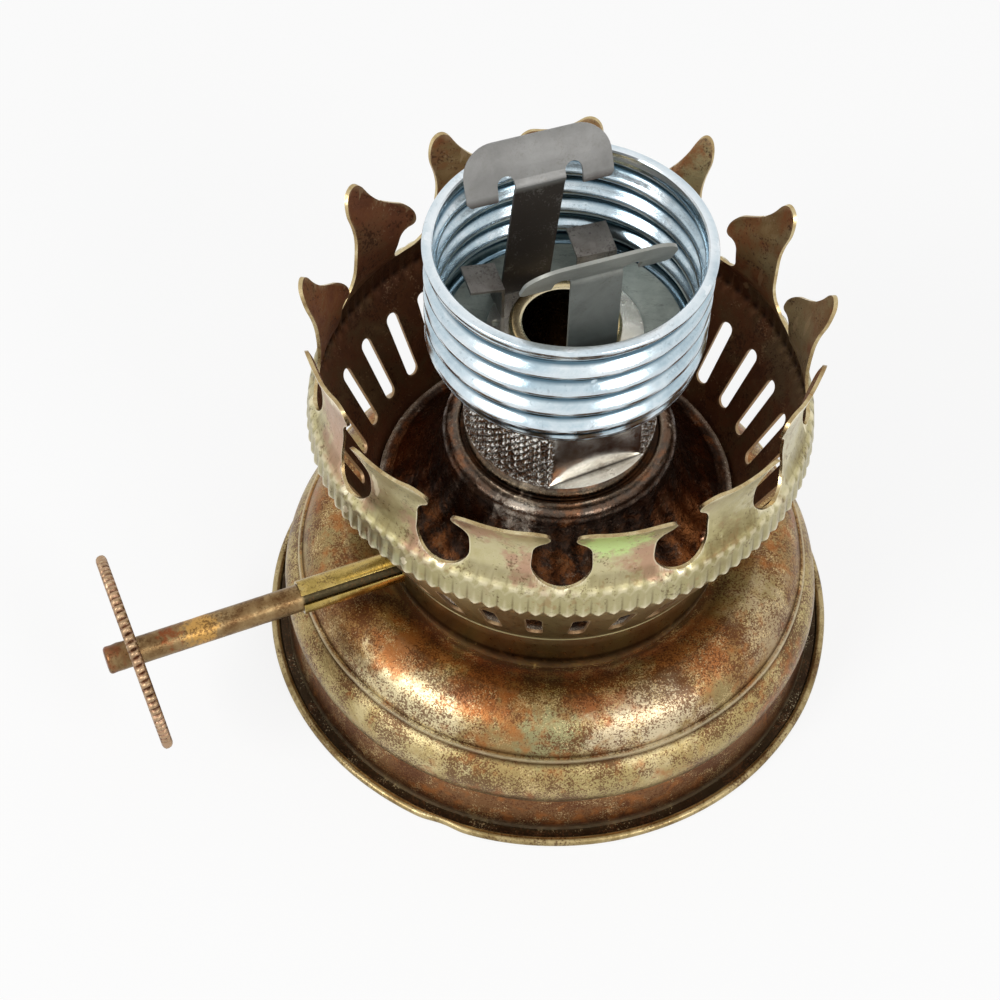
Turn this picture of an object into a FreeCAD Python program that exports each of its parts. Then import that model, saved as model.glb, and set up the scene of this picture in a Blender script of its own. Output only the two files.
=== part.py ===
import FreeCAD, Part
import math
import os
from FreeCAD import Vector

# A kerosene lamp burner that carries a threaded lamp holder in place of its wick.
# Millimetres. Z is the burner's axis, Z = 0 is the plane it rests on.

# Pressed sheet and fits
sheet = 0.45               # brass sheet of the burner's pressings
spring_sheet = 0.35        # nickel plated spring steel of the clips
press_gap = 0.05           # between pressings that sit inside one another
run_gap = 0.05             # radial play of the turning spindle
thread_gap = 0.05          # radial play of the tapped pieces on the hollow nipple

# Base pan: a flat ring with a rolled rim
rim_radius = 33.2
roll_radius = 0.5
pan_width = 3.6

# Dome cover: skirt, rounded bead, broad dome and inner flange
skirt_inset = 2.0          # of the skirt's foot from the rim
skirt_taper = 0.5
skirt_height = 5.9
bead_bulge = 0.05          # of the bead beyond the skirt
bead_bulge_rise = 2.8      # of the bulge above the skirt
bead_step = 1.7            # of the bead's top in from the skirt
bead_height = 6.2
shoulder_step = 2.1        # of the dome's shoulder in from the bead
dome_shoulder_rise = 3.1   # of the shoulder above the bead
crest_step = 5.4           # of the dome's crest in from the bead
dome_rise = 4.3            # crest above the bead
dome_dip = 1.5             # flange below the crest
dome_flange_width = 2.3    # inside the gallery's foot

# Male screw collar that enters the fuel font
collar_step = 0.15         # of the collar out from the gallery's foot band
collar_flange_width = 2.6

# Gallery: foot band, slotted flare, fluted bead and chimney prongs
foot_inset = 14.1          # of the foot band from the rim
foot_flange_width = 1.4
band_taper = 0.8
band_height = 6.9
flare_spread = 6.5
flare_height = 14.4
flute_swell = 0.65         # of the flutes beyond the top of the flare
flute_depth = 0.55
flute_count = 108
fluted_height = 3.3
prong_tip_spread = 1.6     # of the prongs' tips beyond the top of the flare
prong_bow_spread = 0.2     # of the prongs at the bow
prong_bow_rise = 4.2       # of the bow above the fluted bead
slot_count = 32
slot_length = 8.4
slot_width = 1.7
prong_count = 13
first_gap_angle = -90.0
keyhole_radius = 3.05
keyhole_stretch = 3.2      # the round gap is this much taller than wide
keyhole_rise = 0.5         # above the fluted bead
mouth_width = 4.2
lobe_radius = 1.55
notch_depth = 0.9          # dip between the two lobes of a prong

# Draught plate and the wick housing that stands in it
draught_hole_radius = 1.1
draught_hole_circle = 12.6
draught_hole_count = 20
housing_radius = 8.0
housing_drop = 5.6         # below the draught plate
housing_rise = 8.6         # above the draught plate
housing_bead = 0.9         # ring that rests on the draught plate

# Air cone with a raised shoulder round the lamp holder
cone_rim_rise = 1.2        # above the top of the foot band
cone_rim_width = 1.6
cone_waist_radius = 14.5
cone_waist_rise = 3.7      # of the waist above the rim
cone_height = 10.4
cone_shoulder_radius = 12.6
cone_shoulder_round = 1.4
cone_shoulder_bevel = 0.4  # of the shoulder's arc, in from its sharp corner
cone_seat_inset = 1.9      # of the recessed seat from the shoulder
seat_recess = 0.5          # the holder stands this much below the shoulder
lug_radius = 1.1
lug_count = 3
lug_angle = -23.0

# Wick spindle, its guide tube and its knob
spindle_angle = 203.9
spindle_height = 19.2
spindle_offset = 1.4       # the spindle passes beside the burner's axis
shaft_radius = 1.5
shaft_inner_reach = 9.2
shaft_outer_reach = 52.5
shaft_chamfer = 0.3
guide_wall = 0.3
guide_outer_reach = 30.8
guide_seam_width = 0.9
guide_seam_angle = 31.0    # above the horizontal, on the side of the knob's front
knob_radius = 10.9
knob_thickness = 1.2
shaft_tip = 3.1            # of the spindle beyond the middle of the knob
knob_tooth_depth = 0.35
knob_tooth_count = 72
wheel_radius = 3.6
wheel_thickness = 0.8
wheel_tooth_count = 10
wheel_tooth_depth = 0.8
wheel_spacing = 6.0

# Hollow nipple with its washer and nut
nipple_radius = 5.0
nipple_bore_radius = 4.35
nipple_flange_radius = 5.75
nipple_flange_thickness = 1.2
nipple_tail = 1.0          # thread left below the nut
nut_across_flats = 14.0
nut_thickness = 2.5
nut_chamfer = 0.5
washer_radius = 8.2
washer_thickness = 0.6

# Knurled coupler
coupler_radius = 10.3
coupler_height = 13.8
coupler_foot_height = 2.2
coupler_flat_angle = -64.0
coupler_flat_depth = 1.65

# Threaded shell and the loose disc on its floor
shell_radius = 14.3
shell_height = 14.1
shell_sheet = 0.4
shell_corner = 1.0         # bevel between floor and wall
ridge_count = 6
ridge_depth = 0.75
lip_bulge = 0.1            # of the lip beyond the ridges
lip_width = 1.1
lip_height = 1.0
disc_inset = 2.0           # of the disc from the crests of the ridges
disc_thickness = 0.8

# Spring clip: plate with two ears, and two leaves with T heads
clip_angle = 108.0
plate_radius = 8.0
leaf_distance = 6.4
leaf_width = 5.2
leaf_height = 14.7
leaf_root_gap = 0.1
back_leaf_shift = 0.75     # of the back leaf along its own width
head_width = 15.2
head_height = 4.9
head_corner = 3.4
head_skirt = 1.0
head_lean = 28.0           # from the upright leaf, outwards
head_slot_width = 1.8
head_slot_depth = 2.4
ear_tilt = 8.0             # above the horizontal
ear_gap = 0.55             # between the back leaf and the ear beside it
back_ear_width = 4.3
back_ear_length = 3.8
back_ear_rise = 3.2
back_ear_seat = 6.2        # of the riser from the axis
side_ear_width = 3.8
side_ear_length = 3.6
side_ear_rise = 4.2
side_ear_seat = 5.5
side_ear_middle = 5.0      # of the ear's width from the axis, towards the back leaf
pin_hole_radius = 0.4
pin_hole_angle = 176.0
pin_hole_reach = 7.1

# Radii that follow from the sizes above
pan_inner_radius = rim_radius - pan_width
skirt_foot_radius = rim_radius - skirt_inset
skirt_top_radius = skirt_foot_radius - skirt_taper
bead_top_radius = skirt_top_radius - bead_step
dome_shoulder_radius = bead_top_radius - shoulder_step
dome_crest_radius = bead_top_radius - crest_step
foot_radius = rim_radius - foot_inset
cone_seat_radius = cone_shoulder_radius - cone_seat_inset
collar_radius = foot_radius + collar_step
dome_hole_radius = foot_radius - dome_flange_width
band_top_radius = foot_radius + band_taper
flare_top_radius = band_top_radius + flare_spread
prong_tip_radius = flare_top_radius + prong_tip_spread
knob_reach = shaft_outer_reach - shaft_tip
lip_radius = shell_radius + lip_bulge
disc_radius = shell_radius - disc_inset

# Heights that follow from the sizes above
bead_foot_z = skirt_height
bead_top_z = bead_foot_z + bead_height
dome_crest_z = bead_top_z + dome_rise
flange_top_z = dome_crest_z - dome_dip
band_top_z = flange_top_z + band_height
flare_top_z = band_top_z + flare_height
fluted_top_z = flare_top_z + fluted_height
gap_low_z = fluted_top_z + keyhole_rise + keyhole_radius
gap_high_z = gap_low_z + keyhole_stretch
lobe_across = mouth_width / 2 + lobe_radius
lobe_rise = math.sqrt((keyhole_radius + lobe_radius) ** 2 - lobe_across ** 2)
lobe_z = gap_high_z + lobe_rise
prong_top_z = lobe_z + lobe_radius
cone_rim_z = band_top_z + cone_rim_rise
cone_seat_z = cone_rim_z + cone_height
coupler_top_z = cone_seat_z + coupler_height
shell_top_z = coupler_top_z + shell_height
plate_seat_z = flange_top_z + sheet
draught_top_z = plate_seat_z + sheet
disc_top_z = coupler_top_z + shell_sheet + disc_thickness
plate_top_z = disc_top_z + spring_sheet
nipple_top_z = plate_top_z + nipple_flange_thickness
leaf_top_z = plate_top_z + leaf_height

axis = Vector(0, 0, 1)
origin = Vector(0, 0, 0)


def path(start, *steps):
    """Line steps are (r, z), arc steps are (mid r, mid z, end r, end z)."""
    here = Vector(start[0], 0, start[1])
    edges = []
    for step in steps:
        end = Vector(step[-2], 0, step[-1])
        if len(step) == 2:
            edges.append(Part.makeLine(here, end))
        else:
            edges.append(Part.Arc(here, Vector(step[0], 0, step[1]), end).toShape())
        here = end
    return Part.Wire(edges)


def pressed(thickness, start, *steps):
    """Sheet of revolution whose outer side follows the path."""
    section = path(start, *steps).makeOffset2D(thickness, 2, True, True)
    return section.revolve(origin, axis, 360)


def tube(outer_radius, inner_radius, low, high):
    """Upright round tube."""
    outer = Part.makeCylinder(outer_radius, high - low, Vector(0, 0, low))
    return outer.cut(Part.makeCylinder(inner_radius, high - low, Vector(0, 0, low)))


def toothed_disc(outer_radius, depth, count, thickness):
    """Flat disc with straight V teeth, lying on Z = 0."""
    points = []
    for index in range(2 * count):
        angle = math.pi * index / count
        radius = outer_radius - depth * (index % 2)
        points.append(Vector(radius * math.cos(angle), radius * math.sin(angle), 0))
    outline = Part.makePolygon(points + [points[0]])
    return Part.Face(outline).extrude(Vector(0, 0, thickness))


def around(shape, count, first_angle=0.0):
    """Copies of a shape, evenly spaced round the axis."""
    copies = []
    for index in range(count):
        copy = shape.copy()
        copy.rotate(origin, axis, first_angle + 360.0 * index / count)
        copies.append(copy)
    return copies


def on_spindle(shape, reach):
    """Moves a shape built along +Z from the origin on to the spindle's line."""
    moved = shape.copy()
    moved.rotate(origin, Vector(0, 1, 0), 90)
    moved.translate(Vector(reach, spindle_offset, spindle_height))
    moved.rotate(origin, axis, spindle_angle)
    return moved


def at_clip(shape, turn=0.0):
    """Turns a shape built facing +X to the clip's direction."""
    moved = shape.copy()
    moved.rotate(origin, axis, clip_angle + turn)
    return moved


def base_pan():
    ring = tube(rim_radius - roll_radius, pan_inner_radius, 0, sheet)
    roll = Part.makeTorus(rim_radius - roll_radius, roll_radius, Vector(0, 0, roll_radius))
    return ring.fuse(roll)


def dome_cover():
    return pressed(
        sheet,
        (skirt_foot_radius, sheet + press_gap),
        (skirt_top_radius, bead_foot_z),
        (skirt_top_radius + bead_bulge, bead_foot_z + bead_bulge_rise, bead_top_radius, bead_top_z),
        (dome_shoulder_radius, bead_top_z + dome_shoulder_rise, dome_crest_radius, dome_crest_z),
        (foot_radius + press_gap, flange_top_z),
        (dome_hole_radius, flange_top_z),
    )


def screw_collar():
    top = flange_top_z - sheet
    wall = tube(collar_radius, collar_radius - sheet, 0, top)
    flange = tube(collar_radius, collar_radius - collar_flange_width, top - sheet, top)
    return wall.fuse(flange)


def slot_cutters():
    """Long round-ended slots that follow the slope of the flare."""
    run = flare_top_radius - band_top_radius
    lean = math.degrees(math.atan2(run, flare_height))
    depth = 6 * sheet
    straight = slot_length - slot_width
    corner = Vector(-depth / 2, -slot_width / 2, -straight / 2)
    bar = Part.makeBox(depth, slot_width, straight, corner)
    for end in (-straight / 2, straight / 2):
        bar = bar.fuse(Part.makeCylinder(slot_width / 2, depth, Vector(-depth / 2, 0, end), Vector(1, 0, 0)))
    bar = bar.removeSplitter()
    bar.rotate(origin, Vector(0, 1, 0), lean)
    bar.translate(Vector(band_top_radius + run / 2, 0, band_top_z + flare_height / 2))
    return around(bar, slot_count, 180.0 / slot_count)


def gap_arc(side, across, height, radius, first, last):
    """Arc in the plane that faces the axis, mirrored by side."""
    points = []
    for angle in (first, (first + last) / 2, last):
        y = side * (across + radius * math.cos(angle))
        points.append(Vector(0, y, height + radius * math.sin(angle)))
    return Part.Arc(*points).toShape()


def prong_gap_cutters():
    """Round gap, narrow mouth, the inner side of a lobe each way, and half of each notch."""
    half_pitch = prong_tip_radius * math.tan(math.pi / prong_count)
    span = half_pitch - lobe_across
    drop = lobe_radius - notch_depth
    notch_radius = (span ** 2 - lobe_radius ** 2 + drop ** 2) / (2 * notch_depth)
    notch_z = lobe_z + drop + notch_radius
    to_lobe = math.atan2(lobe_rise, lobe_across)
    to_notch = math.atan2(notch_z - lobe_z, span)
    clear_z = prong_top_z + lobe_radius
    edges = []
    for side in (1, -1):
        low = Vector(0, side * keyhole_radius, gap_low_z)
        dip = Vector(0, side * half_pitch, notch_z - notch_radius)
        edges.append(gap_arc(side, 0, gap_low_z, keyhole_radius, -math.pi / 2, 0))
        edges.append(Part.makeLine(low, low + Vector(0, 0, keyhole_stretch)))
        edges.append(gap_arc(side, 0, gap_high_z, keyhole_radius, 0, to_lobe))
        edges.append(gap_arc(side, lobe_across, lobe_z, lobe_radius, to_lobe + math.pi, to_notch))
        edges.append(gap_arc(side, half_pitch, notch_z, notch_radius, to_notch - math.pi, -math.pi / 2))
        edges.append(Part.makeLine(dip, Vector(0, side * half_pitch, clear_z)))
    edges.append(Part.makeLine(Vector(0, half_pitch, clear_z), Vector(0, -half_pitch, clear_z)))
    outline = Part.Wire(Part.__sortEdges__(edges))
    cutter = Part.Face(outline).extrude(Vector(flare_top_radius, 0, 0))
    cutter.translate(Vector(flare_top_radius / 2, 0, 0))
    return around(cutter, prong_count, first_gap_angle)


def gallery():
    wall = pressed(
        sheet,
        (foot_radius - foot_flange_width, flange_top_z),
        (foot_radius, flange_top_z),
        (band_top_radius, band_top_z),
        (flare_top_radius, flare_top_z),
        (flare_top_radius, fluted_top_z),
        (flare_top_radius + prong_bow_spread, fluted_top_z + prong_bow_rise, prong_tip_radius, prong_top_z),
    )
    middle_of_prong = first_gap_angle + 180.0 / prong_count
    wall.rotate(origin, axis, middle_of_prong)
    wall = wall.cut(slot_cutters())
    for cutter in prong_gap_cutters():
        wall = wall.cut(cutter)
    guide_hole = shaft_radius + run_gap + guide_wall + press_gap
    wall = wall.cut(on_spindle(Part.makeCylinder(guide_hole, band_top_radius), foot_radius / 2))
    flutes = toothed_disc(flare_top_radius + flute_swell, flute_depth, flute_count, fluted_height)
    flutes = flutes.cut(Part.makeCylinder(flare_top_radius - sheet / 2, fluted_height))
    flutes.translate(Vector(0, 0, flare_top_z))
    return wall.fuse(flutes)


def flare_inside(height):
    """Inner radius of the flare at a height."""
    run = flare_top_radius - band_top_radius
    wall = sheet * math.hypot(run, flare_height) / flare_height
    return band_top_radius + run * (height - band_top_z) / flare_height - wall


def draught_plate():
    plate = tube(foot_radius - sheet - press_gap, housing_radius + press_gap, plate_seat_z, draught_top_z)
    hole = Part.makeCylinder(draught_hole_radius, sheet, Vector(draught_hole_circle, 0, plate_seat_z))
    return plate.cut(around(hole, draught_hole_count))


def wick_housing():
    bore = housing_radius - sheet
    wall = tube(housing_radius, bore, plate_seat_z - housing_drop, draught_top_z + housing_rise)
    bead = tube(housing_radius + housing_bead, bore, draught_top_z, draught_top_z + sheet)
    across = Part.makeCylinder(shaft_radius + run_gap, 4 * housing_radius)
    return wall.fuse(bead).cut(on_spindle(across, -2 * housing_radius))


def air_cone():
    """Concave cone with a flat rim, a rounded shoulder and a recessed seat for the holder."""
    rim = flare_inside(cone_rim_z - sheet) - press_gap
    foot = rim - cone_rim_width
    side = cone_shoulder_radius
    top = cone_seat_z + seat_recess
    cone = pressed(
        sheet,
        (rim, cone_rim_z),
        (foot, cone_rim_z),
        (cone_waist_radius, cone_rim_z + cone_waist_rise, side, top - cone_shoulder_round),
        (side - cone_shoulder_bevel, top - cone_shoulder_bevel, side - cone_shoulder_round, top),
        (cone_seat_radius, cone_seat_z),
    )
    seat = tube(cone_seat_radius + sheet, nipple_radius + thread_gap, cone_seat_z - sheet, cone_seat_z)
    lug = Part.makeSphere(lug_radius, Vector(foot, 0, cone_rim_z))
    lug = lug.cut(Part.makeCylinder(rim, cone_rim_z - sheet))
    return cone.fuse([seat] + around(lug, lug_count, lug_angle))


def spindle_guide():
    start = housing_radius + press_gap
    bore = shaft_radius + run_gap
    length = guide_outer_reach - start
    pipe = tube(bore + guide_wall, bore, 0, length)
    seam = Part.makeBox(2 * bore, guide_seam_width, length, Vector(0, -guide_seam_width / 2, 0))
    seam.rotate(origin, axis, 90 - guide_seam_angle)
    return on_spindle(pipe.cut(seam), start)


def wick_spindle():
    length = shaft_outer_reach + shaft_inner_reach
    rod = Part.makeCylinder(shaft_radius, length)
    ends = [edge for edge in rod.Edges if edge.Curve.TypeId == "Part::GeomCircle"]
    return on_spindle(rod.makeChamfer(shaft_chamfer, ends), -shaft_inner_reach)


def wick_knob():
    disc = toothed_disc(knob_radius, knob_tooth_depth, knob_tooth_count, knob_thickness)
    disc = disc.cut(Part.makeCylinder(shaft_radius + press_gap, knob_thickness))
    return on_spindle(disc, knob_reach - knob_thickness / 2)


def feed_wheels():
    wheels = []
    for reach in (-wheel_spacing / 2, wheel_spacing / 2):
        wheel = toothed_disc(wheel_radius, wheel_tooth_depth, wheel_tooth_count, wheel_thickness)
        wheel = wheel.cut(Part.makeCylinder(shaft_radius + press_gap, wheel_thickness))
        wheels.append(on_spindle(wheel, reach - wheel_thickness / 2))
    return Part.makeCompound(wheels)


def nipple_washer():
    top = cone_seat_z - sheet
    return tube(washer_radius, nipple_radius + thread_gap, top - washer_thickness, top)


def nipple_nut():
    """Hexagon nut against the washer, the corners of its free side turned off."""
    top = cone_seat_z - sheet - washer_thickness
    corner = nut_across_flats / math.sqrt(3)
    points = []
    for index in range(7):
        angle = index * math.pi / 3
        points.append(Vector(corner * math.cos(angle), corner * math.sin(angle), 0))
    hexagon = Part.Face(Part.makePolygon(points)).extrude(Vector(0, 0, nut_thickness))
    flat_end = nut_across_flats / 2
    slope = nut_thickness * (corner - flat_end) / nut_chamfer
    turned_off = Part.makeCone(flat_end, flat_end + slope, nut_thickness)
    nut = hexagon.common(turned_off).cut(Part.makeCylinder(nipple_radius + thread_gap, nut_thickness))
    nut.translate(Vector(0, 0, top - nut_thickness))
    return nut


def hollow_nipple():
    low = cone_seat_z - sheet - washer_thickness - nut_thickness - nipple_tail
    pipe = tube(nipple_radius, nipple_bore_radius, low, nipple_top_z)
    return pipe.fuse(tube(nipple_flange_radius, nipple_bore_radius, plate_top_z, nipple_top_z))


def knurled_coupler():
    barrel = tube(coupler_radius, nipple_radius + thread_gap, cone_seat_z, coupler_top_z)
    width = 2 * coupler_radius
    flat = Part.makeBox(width, width, coupler_height)
    flat.translate(Vector(coupler_radius - coupler_flat_depth, -width / 2, cone_seat_z + coupler_foot_height))
    return barrel.cut(around(flat, 2, coupler_flat_angle))


def thread_shell():
    """Drawn shell: flat floor, wall of rolled ridges and a hemmed lip."""
    middle = shell_radius - ridge_depth / 2
    groove = shell_radius - ridge_depth
    ridge_z = coupler_top_z + shell_corner
    pitch = (shell_height - shell_corner - lip_height) / ridge_count
    steps = [(middle - shell_corner, coupler_top_z), (middle, ridge_z)]
    for index in range(ridge_count):
        low = ridge_z + index * pitch
        steps.append((shell_radius, low + pitch / 4, middle, low + pitch / 2))
        steps.append((groove, low + 3 * pitch / 4, middle, low + pitch))
    wall = pressed(shell_sheet, (disc_radius, coupler_top_z), *steps)
    floor = tube(disc_radius, nipple_radius + thread_gap, coupler_top_z, coupler_top_z + shell_sheet)
    lip = tube(lip_radius, lip_radius - lip_width, shell_top_z - lip_height, shell_top_z)
    return wall.fuse([floor, lip])


def shell_disc():
    return tube(disc_radius, nipple_radius + thread_gap, disc_top_z - disc_thickness, disc_top_z)


def clip_plate():
    """Round plate with two straight sides under the leaves, a pin hole and two bent ears."""
    plate = tube(plate_radius, nipple_radius + thread_gap, disc_top_z, plate_top_z)
    width = 2 * (leaf_distance + spring_sheet)
    sides = Part.makeBox(width, 2 * plate_radius, spring_sheet)
    sides.translate(Vector(-width / 2, -plate_radius, disc_top_z))
    back_ear = clip_ear(back_ear_width, back_ear_length, back_ear_rise)
    back_ear.translate(Vector(back_ear_seat, -(leaf_width + back_ear_width) / 2 - ear_gap, 0))
    side_ear = clip_ear(side_ear_width, side_ear_length, side_ear_rise)
    side_ear.translate(Vector(side_ear_seat, -side_ear_middle, 0))
    side_ear.rotate(origin, axis, 90)
    plate = at_clip(plate.common(sides).fuse([back_ear, side_ear]))
    pin_hole = Part.makeCylinder(pin_hole_radius, spring_sheet, Vector(pin_hole_reach, 0, disc_top_z))
    pin_hole.rotate(origin, axis, pin_hole_angle)
    return plate.cut(pin_hole)


def clip_ear(width, length, rise):
    """Ear that stands up from the plate and bends outwards, facing +X."""
    riser = Part.makeBox(spring_sheet, width, rise + spring_sheet, Vector(0, -width / 2, disc_top_z))
    flap = Part.makeBox(length, width, spring_sheet, Vector(0, -width / 2, -spring_sheet))
    flap.rotate(origin, Vector(0, 1, 0), -ear_tilt)
    flap.translate(Vector(0, 0, plate_top_z + rise))
    return riser.fuse(flap)


def clip_head():
    """Flat T head facing +X, its bend on the Y axis, with a round ended slot each side of the leaf."""
    foot = Vector(0, -head_width / 2, -head_skirt)
    head = Part.makeBox(spring_sheet, head_width, head_skirt + head_height, foot)
    upper_edges = [edge for edge in head.Edges if edge.BoundBox.ZMin > 0]
    corners = [edge for edge in upper_edges if edge.BoundBox.YLength < head_corner]
    head = head.makeFillet(head_corner, corners)
    cuts = [Part.makeBox(spring_sheet, leaf_width, head_skirt, Vector(0, -leaf_width / 2, -head_skirt))]
    straight = head_skirt + head_slot_depth - head_slot_width / 2
    for side in (1, -1):
        middle = side * (leaf_width + head_slot_width) / 2
        edge = middle - head_slot_width / 2
        top = Vector(0, middle, straight - head_skirt)
        cuts.append(Part.makeBox(spring_sheet, head_slot_width, straight, Vector(0, edge, -head_skirt)))
        cuts.append(Part.makeCylinder(head_slot_width / 2, spring_sheet, top, Vector(1, 0, 0)))
    return head.cut(cuts)


def clip_leaf(turn, shift):
    root = plate_top_z + leaf_root_gap
    leaf = Part.makeBox(spring_sheet, leaf_width, leaf_top_z - root)
    leaf.translate(Vector(leaf_distance, -leaf_width / 2, root))
    head = clip_head()
    head.rotate(origin, Vector(0, 1, 0), head_lean)
    head.translate(Vector(leaf_distance, 0, leaf_top_z))
    leaf = leaf.fuse(head)
    leaf.translate(Vector(0, shift, 0))
    return at_clip(leaf, turn)


def clip_leaf_back():
    return clip_leaf(0.0, back_leaf_shift)


def clip_leaf_front():
    return clip_leaf(180.0, 0.0)


pieces = (
    base_pan, dome_cover, screw_collar, draught_plate, wick_housing, gallery, air_cone,
    spindle_guide, wick_spindle, wick_knob, feed_wheels, nipple_washer, nipple_nut, hollow_nipple,
    knurled_coupler, thread_shell, shell_disc, clip_plate, clip_leaf_back, clip_leaf_front,
)
os.makedirs("parts", exist_ok=True)
for piece in pieces:
    shape = piece()
    shape.exportStep("parts/" + piece.__name__ + ".step")
    print(piece.__name__, shape.isValid(), len(shape.Solids), round(shape.Volume, 1))
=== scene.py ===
import math
import bmesh
import bpy
from mathutils import Matrix, Vector, noise


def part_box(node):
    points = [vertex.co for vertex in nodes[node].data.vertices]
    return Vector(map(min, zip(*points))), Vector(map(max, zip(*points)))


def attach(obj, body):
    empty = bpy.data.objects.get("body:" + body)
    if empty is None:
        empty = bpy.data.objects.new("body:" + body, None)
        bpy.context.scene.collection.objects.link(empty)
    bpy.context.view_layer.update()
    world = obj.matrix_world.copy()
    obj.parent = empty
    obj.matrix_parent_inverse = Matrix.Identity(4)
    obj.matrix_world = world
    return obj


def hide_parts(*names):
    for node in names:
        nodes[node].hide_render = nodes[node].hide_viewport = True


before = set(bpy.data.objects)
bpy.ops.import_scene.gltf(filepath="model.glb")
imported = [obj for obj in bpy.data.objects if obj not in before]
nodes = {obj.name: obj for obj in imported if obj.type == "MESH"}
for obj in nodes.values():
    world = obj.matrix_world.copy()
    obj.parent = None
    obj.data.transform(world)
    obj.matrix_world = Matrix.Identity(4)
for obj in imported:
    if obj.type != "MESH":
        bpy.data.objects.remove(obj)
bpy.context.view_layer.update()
mm = 0.001  # shapes are worked out in millimetres and scaled down when they are finished


def lowOf(node):
    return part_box(node)[0] / mm


def highOf(node):
    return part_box(node)[1] / mm


def smoothStep(value, low, high):
    share = min(1.0, max(0.0, (value - low) / (high - low)))
    return share * share * (3 - 2 * share)


def window(value, low, fullLow, fullHigh, high):
    # fades in from low to fullLow and out again from fullHigh to high
    return smoothStep(value, low, fullLow) * (1 - smoothStep(value, fullHigh, high))


def zigzag(turns):
    # 1 at every whole turn and 0 half way between
    return abs(math.modf(turns + 1000)[0] * 2 - 1)


def corners(*pairs):
    return [Vector(pair) for pair in pairs]


def curveThrough(start, middle, end, steps):
    # a gentle bend from start to end through middle, without its first point
    start, middle, end = corners(start, middle, end)
    pull = middle * 2 - (start + end) / 2
    shares = [index / steps for index in range(1, steps + 1)]
    return [start * (1 - t) ** 2 + pull * (2 * t * (1 - t)) + end * t * t for t in shares]


def arcPoints(centre, radius, first, last, steps):
    # angles in radians, both ends included
    points = []
    for index in range(steps + 1):
        angle = first + (last - first) * index / steps
        points.append(Vector((centre[0] + radius * math.cos(angle), centre[1] + radius * math.sin(angle))))
    return points


def evenly(points, spacing):
    # splits long stretches, so that ripples have vertices to move
    finer = [Vector(points[0])]
    for end in points[1:]:
        start = finer[-1]
        count = max(1, round((Vector(end) - start).length / spacing))
        finer += [start.lerp(Vector(end), index / count) for index in range(1, count + 1)]
    return finer


def sheetSection(outer, thickness):
    # closed outline of a pressed sheet, its second side to the left of the first
    inner = []
    for index, point in enumerate(outer):
        along = outer[min(index + 1, len(outer) - 1)] - outer[max(index - 1, 0)]
        along.normalize()
        inner.append(point + Vector((-along.y, along.x)) * thickness)
    return outer + inner[::-1]


def lathe(outline, steps, closed=True):
    shape = bmesh.new()
    ring = [shape.verts.new((point[0], 0, point[1])) for point in outline]
    edges = [shape.edges.new(pair) for pair in zip(ring, ring[1:])]
    if closed:
        edges.append(shape.edges.new((ring[-1], ring[0])))
    bmesh.ops.spin(shape, geom=ring + edges, cent=(0, 0, 0), axis=(0, 0, 1), angle=math.tau,
                   steps=steps, use_merge=True)
    bmesh.ops.remove_doubles(shape, verts=shape.verts, dist=0.001)
    bmesh.ops.recalc_face_normals(shape, faces=shape.faces)
    return shape


def slab(outline, low, high):
    # flat plate with this (y, z) outline, from low to high along X
    shape = bmesh.new()
    face = shape.faces.new([shape.verts.new((low, point[0], point[1])) for point in outline])
    grown = bmesh.ops.extrude_face_region(shape, geom=[face])["geom"]
    farSide = [item for item in grown if isinstance(item, bmesh.types.BMVert)]
    bmesh.ops.translate(shape, vec=(high - low, 0, 0), verts=farSide)
    bmesh.ops.recalc_face_normals(shape, faces=shape.faces)
    return shape


def turned(shape, degrees, axis="Z"):
    bmesh.ops.rotate(shape, cent=(0, 0, 0), matrix=Matrix.Rotation(math.radians(degrees), 3, axis),
                     verts=shape.verts)
    return shape


def shifted(shape, x, y, z):
    bmesh.ops.translate(shape, vec=(x, y, z), verts=shape.verts)
    return shape


def joined(shapes):
    whole = bmesh.new()
    for shape in shapes:
        mesh = bpy.data.meshes.new("part")
        shape.to_mesh(mesh)
        shape.free()
        whole.from_mesh(mesh)
        bpy.data.meshes.remove(mesh)
    return whole


def around(shape, count, firstAngle=0.0, chosen=None):
    chosen = chosen or range(count)
    return joined([turned(shape.copy(), firstAngle + 360.0 * index / count) for index in chosen])


def placed(name, data):
    item = bpy.data.objects.new(name, data)
    bpy.context.scene.collection.objects.link(item)
    return item


def withFinish(shape, index):
    # which of its piece's materials the shape shows
    for face in shape.faces:
        face.material_index = index
    return shape


def cutOut(shape, cutter):
    # takes the cutter away from the shape; cut faces keep the cutter's material index
    pair = []
    for name, part in (("work", shape), ("cutter", cutter)):
        mesh = bpy.data.meshes.new(name)
        part.to_mesh(mesh)
        part.free()
        for slotIndex in range(3):
            mesh.materials.append(None)
        pair.append(placed(name, mesh))
    cut = pair[0].modifiers.new("cut", "BOOLEAN")
    cut.operation = "DIFFERENCE"
    cut.solver = "EXACT"
    cut.object = pair[1]
    bpy.context.view_layer.update()
    result = bmesh.new()
    result.from_mesh(pair[0].evaluated_get(bpy.context.evaluated_depsgraph_get()).to_mesh())
    for item in pair:
        bpy.data.objects.remove(item)
    return result


def polar(vertex):
    # distance from the axis and angle round it
    return math.hypot(vertex.co.x, vertex.co.y), math.atan2(vertex.co.y, vertex.co.x)


def pushOut(vertex, angle, distance):
    vertex.co.x += distance * math.cos(angle)
    vertex.co.y += distance * math.sin(angle)


def rippled(shape, amount, size, seed):
    # presses a shape slightly out of true
    for vertex in shape.verts:
        spread = Vector((vertex.co.x, vertex.co.y, 0))
        if spread.length > 0.01:
            vertex.co += spread.normalized() * amount * noise.noise(vertex.co / size + Vector((seed, 0, 0)))


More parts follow.
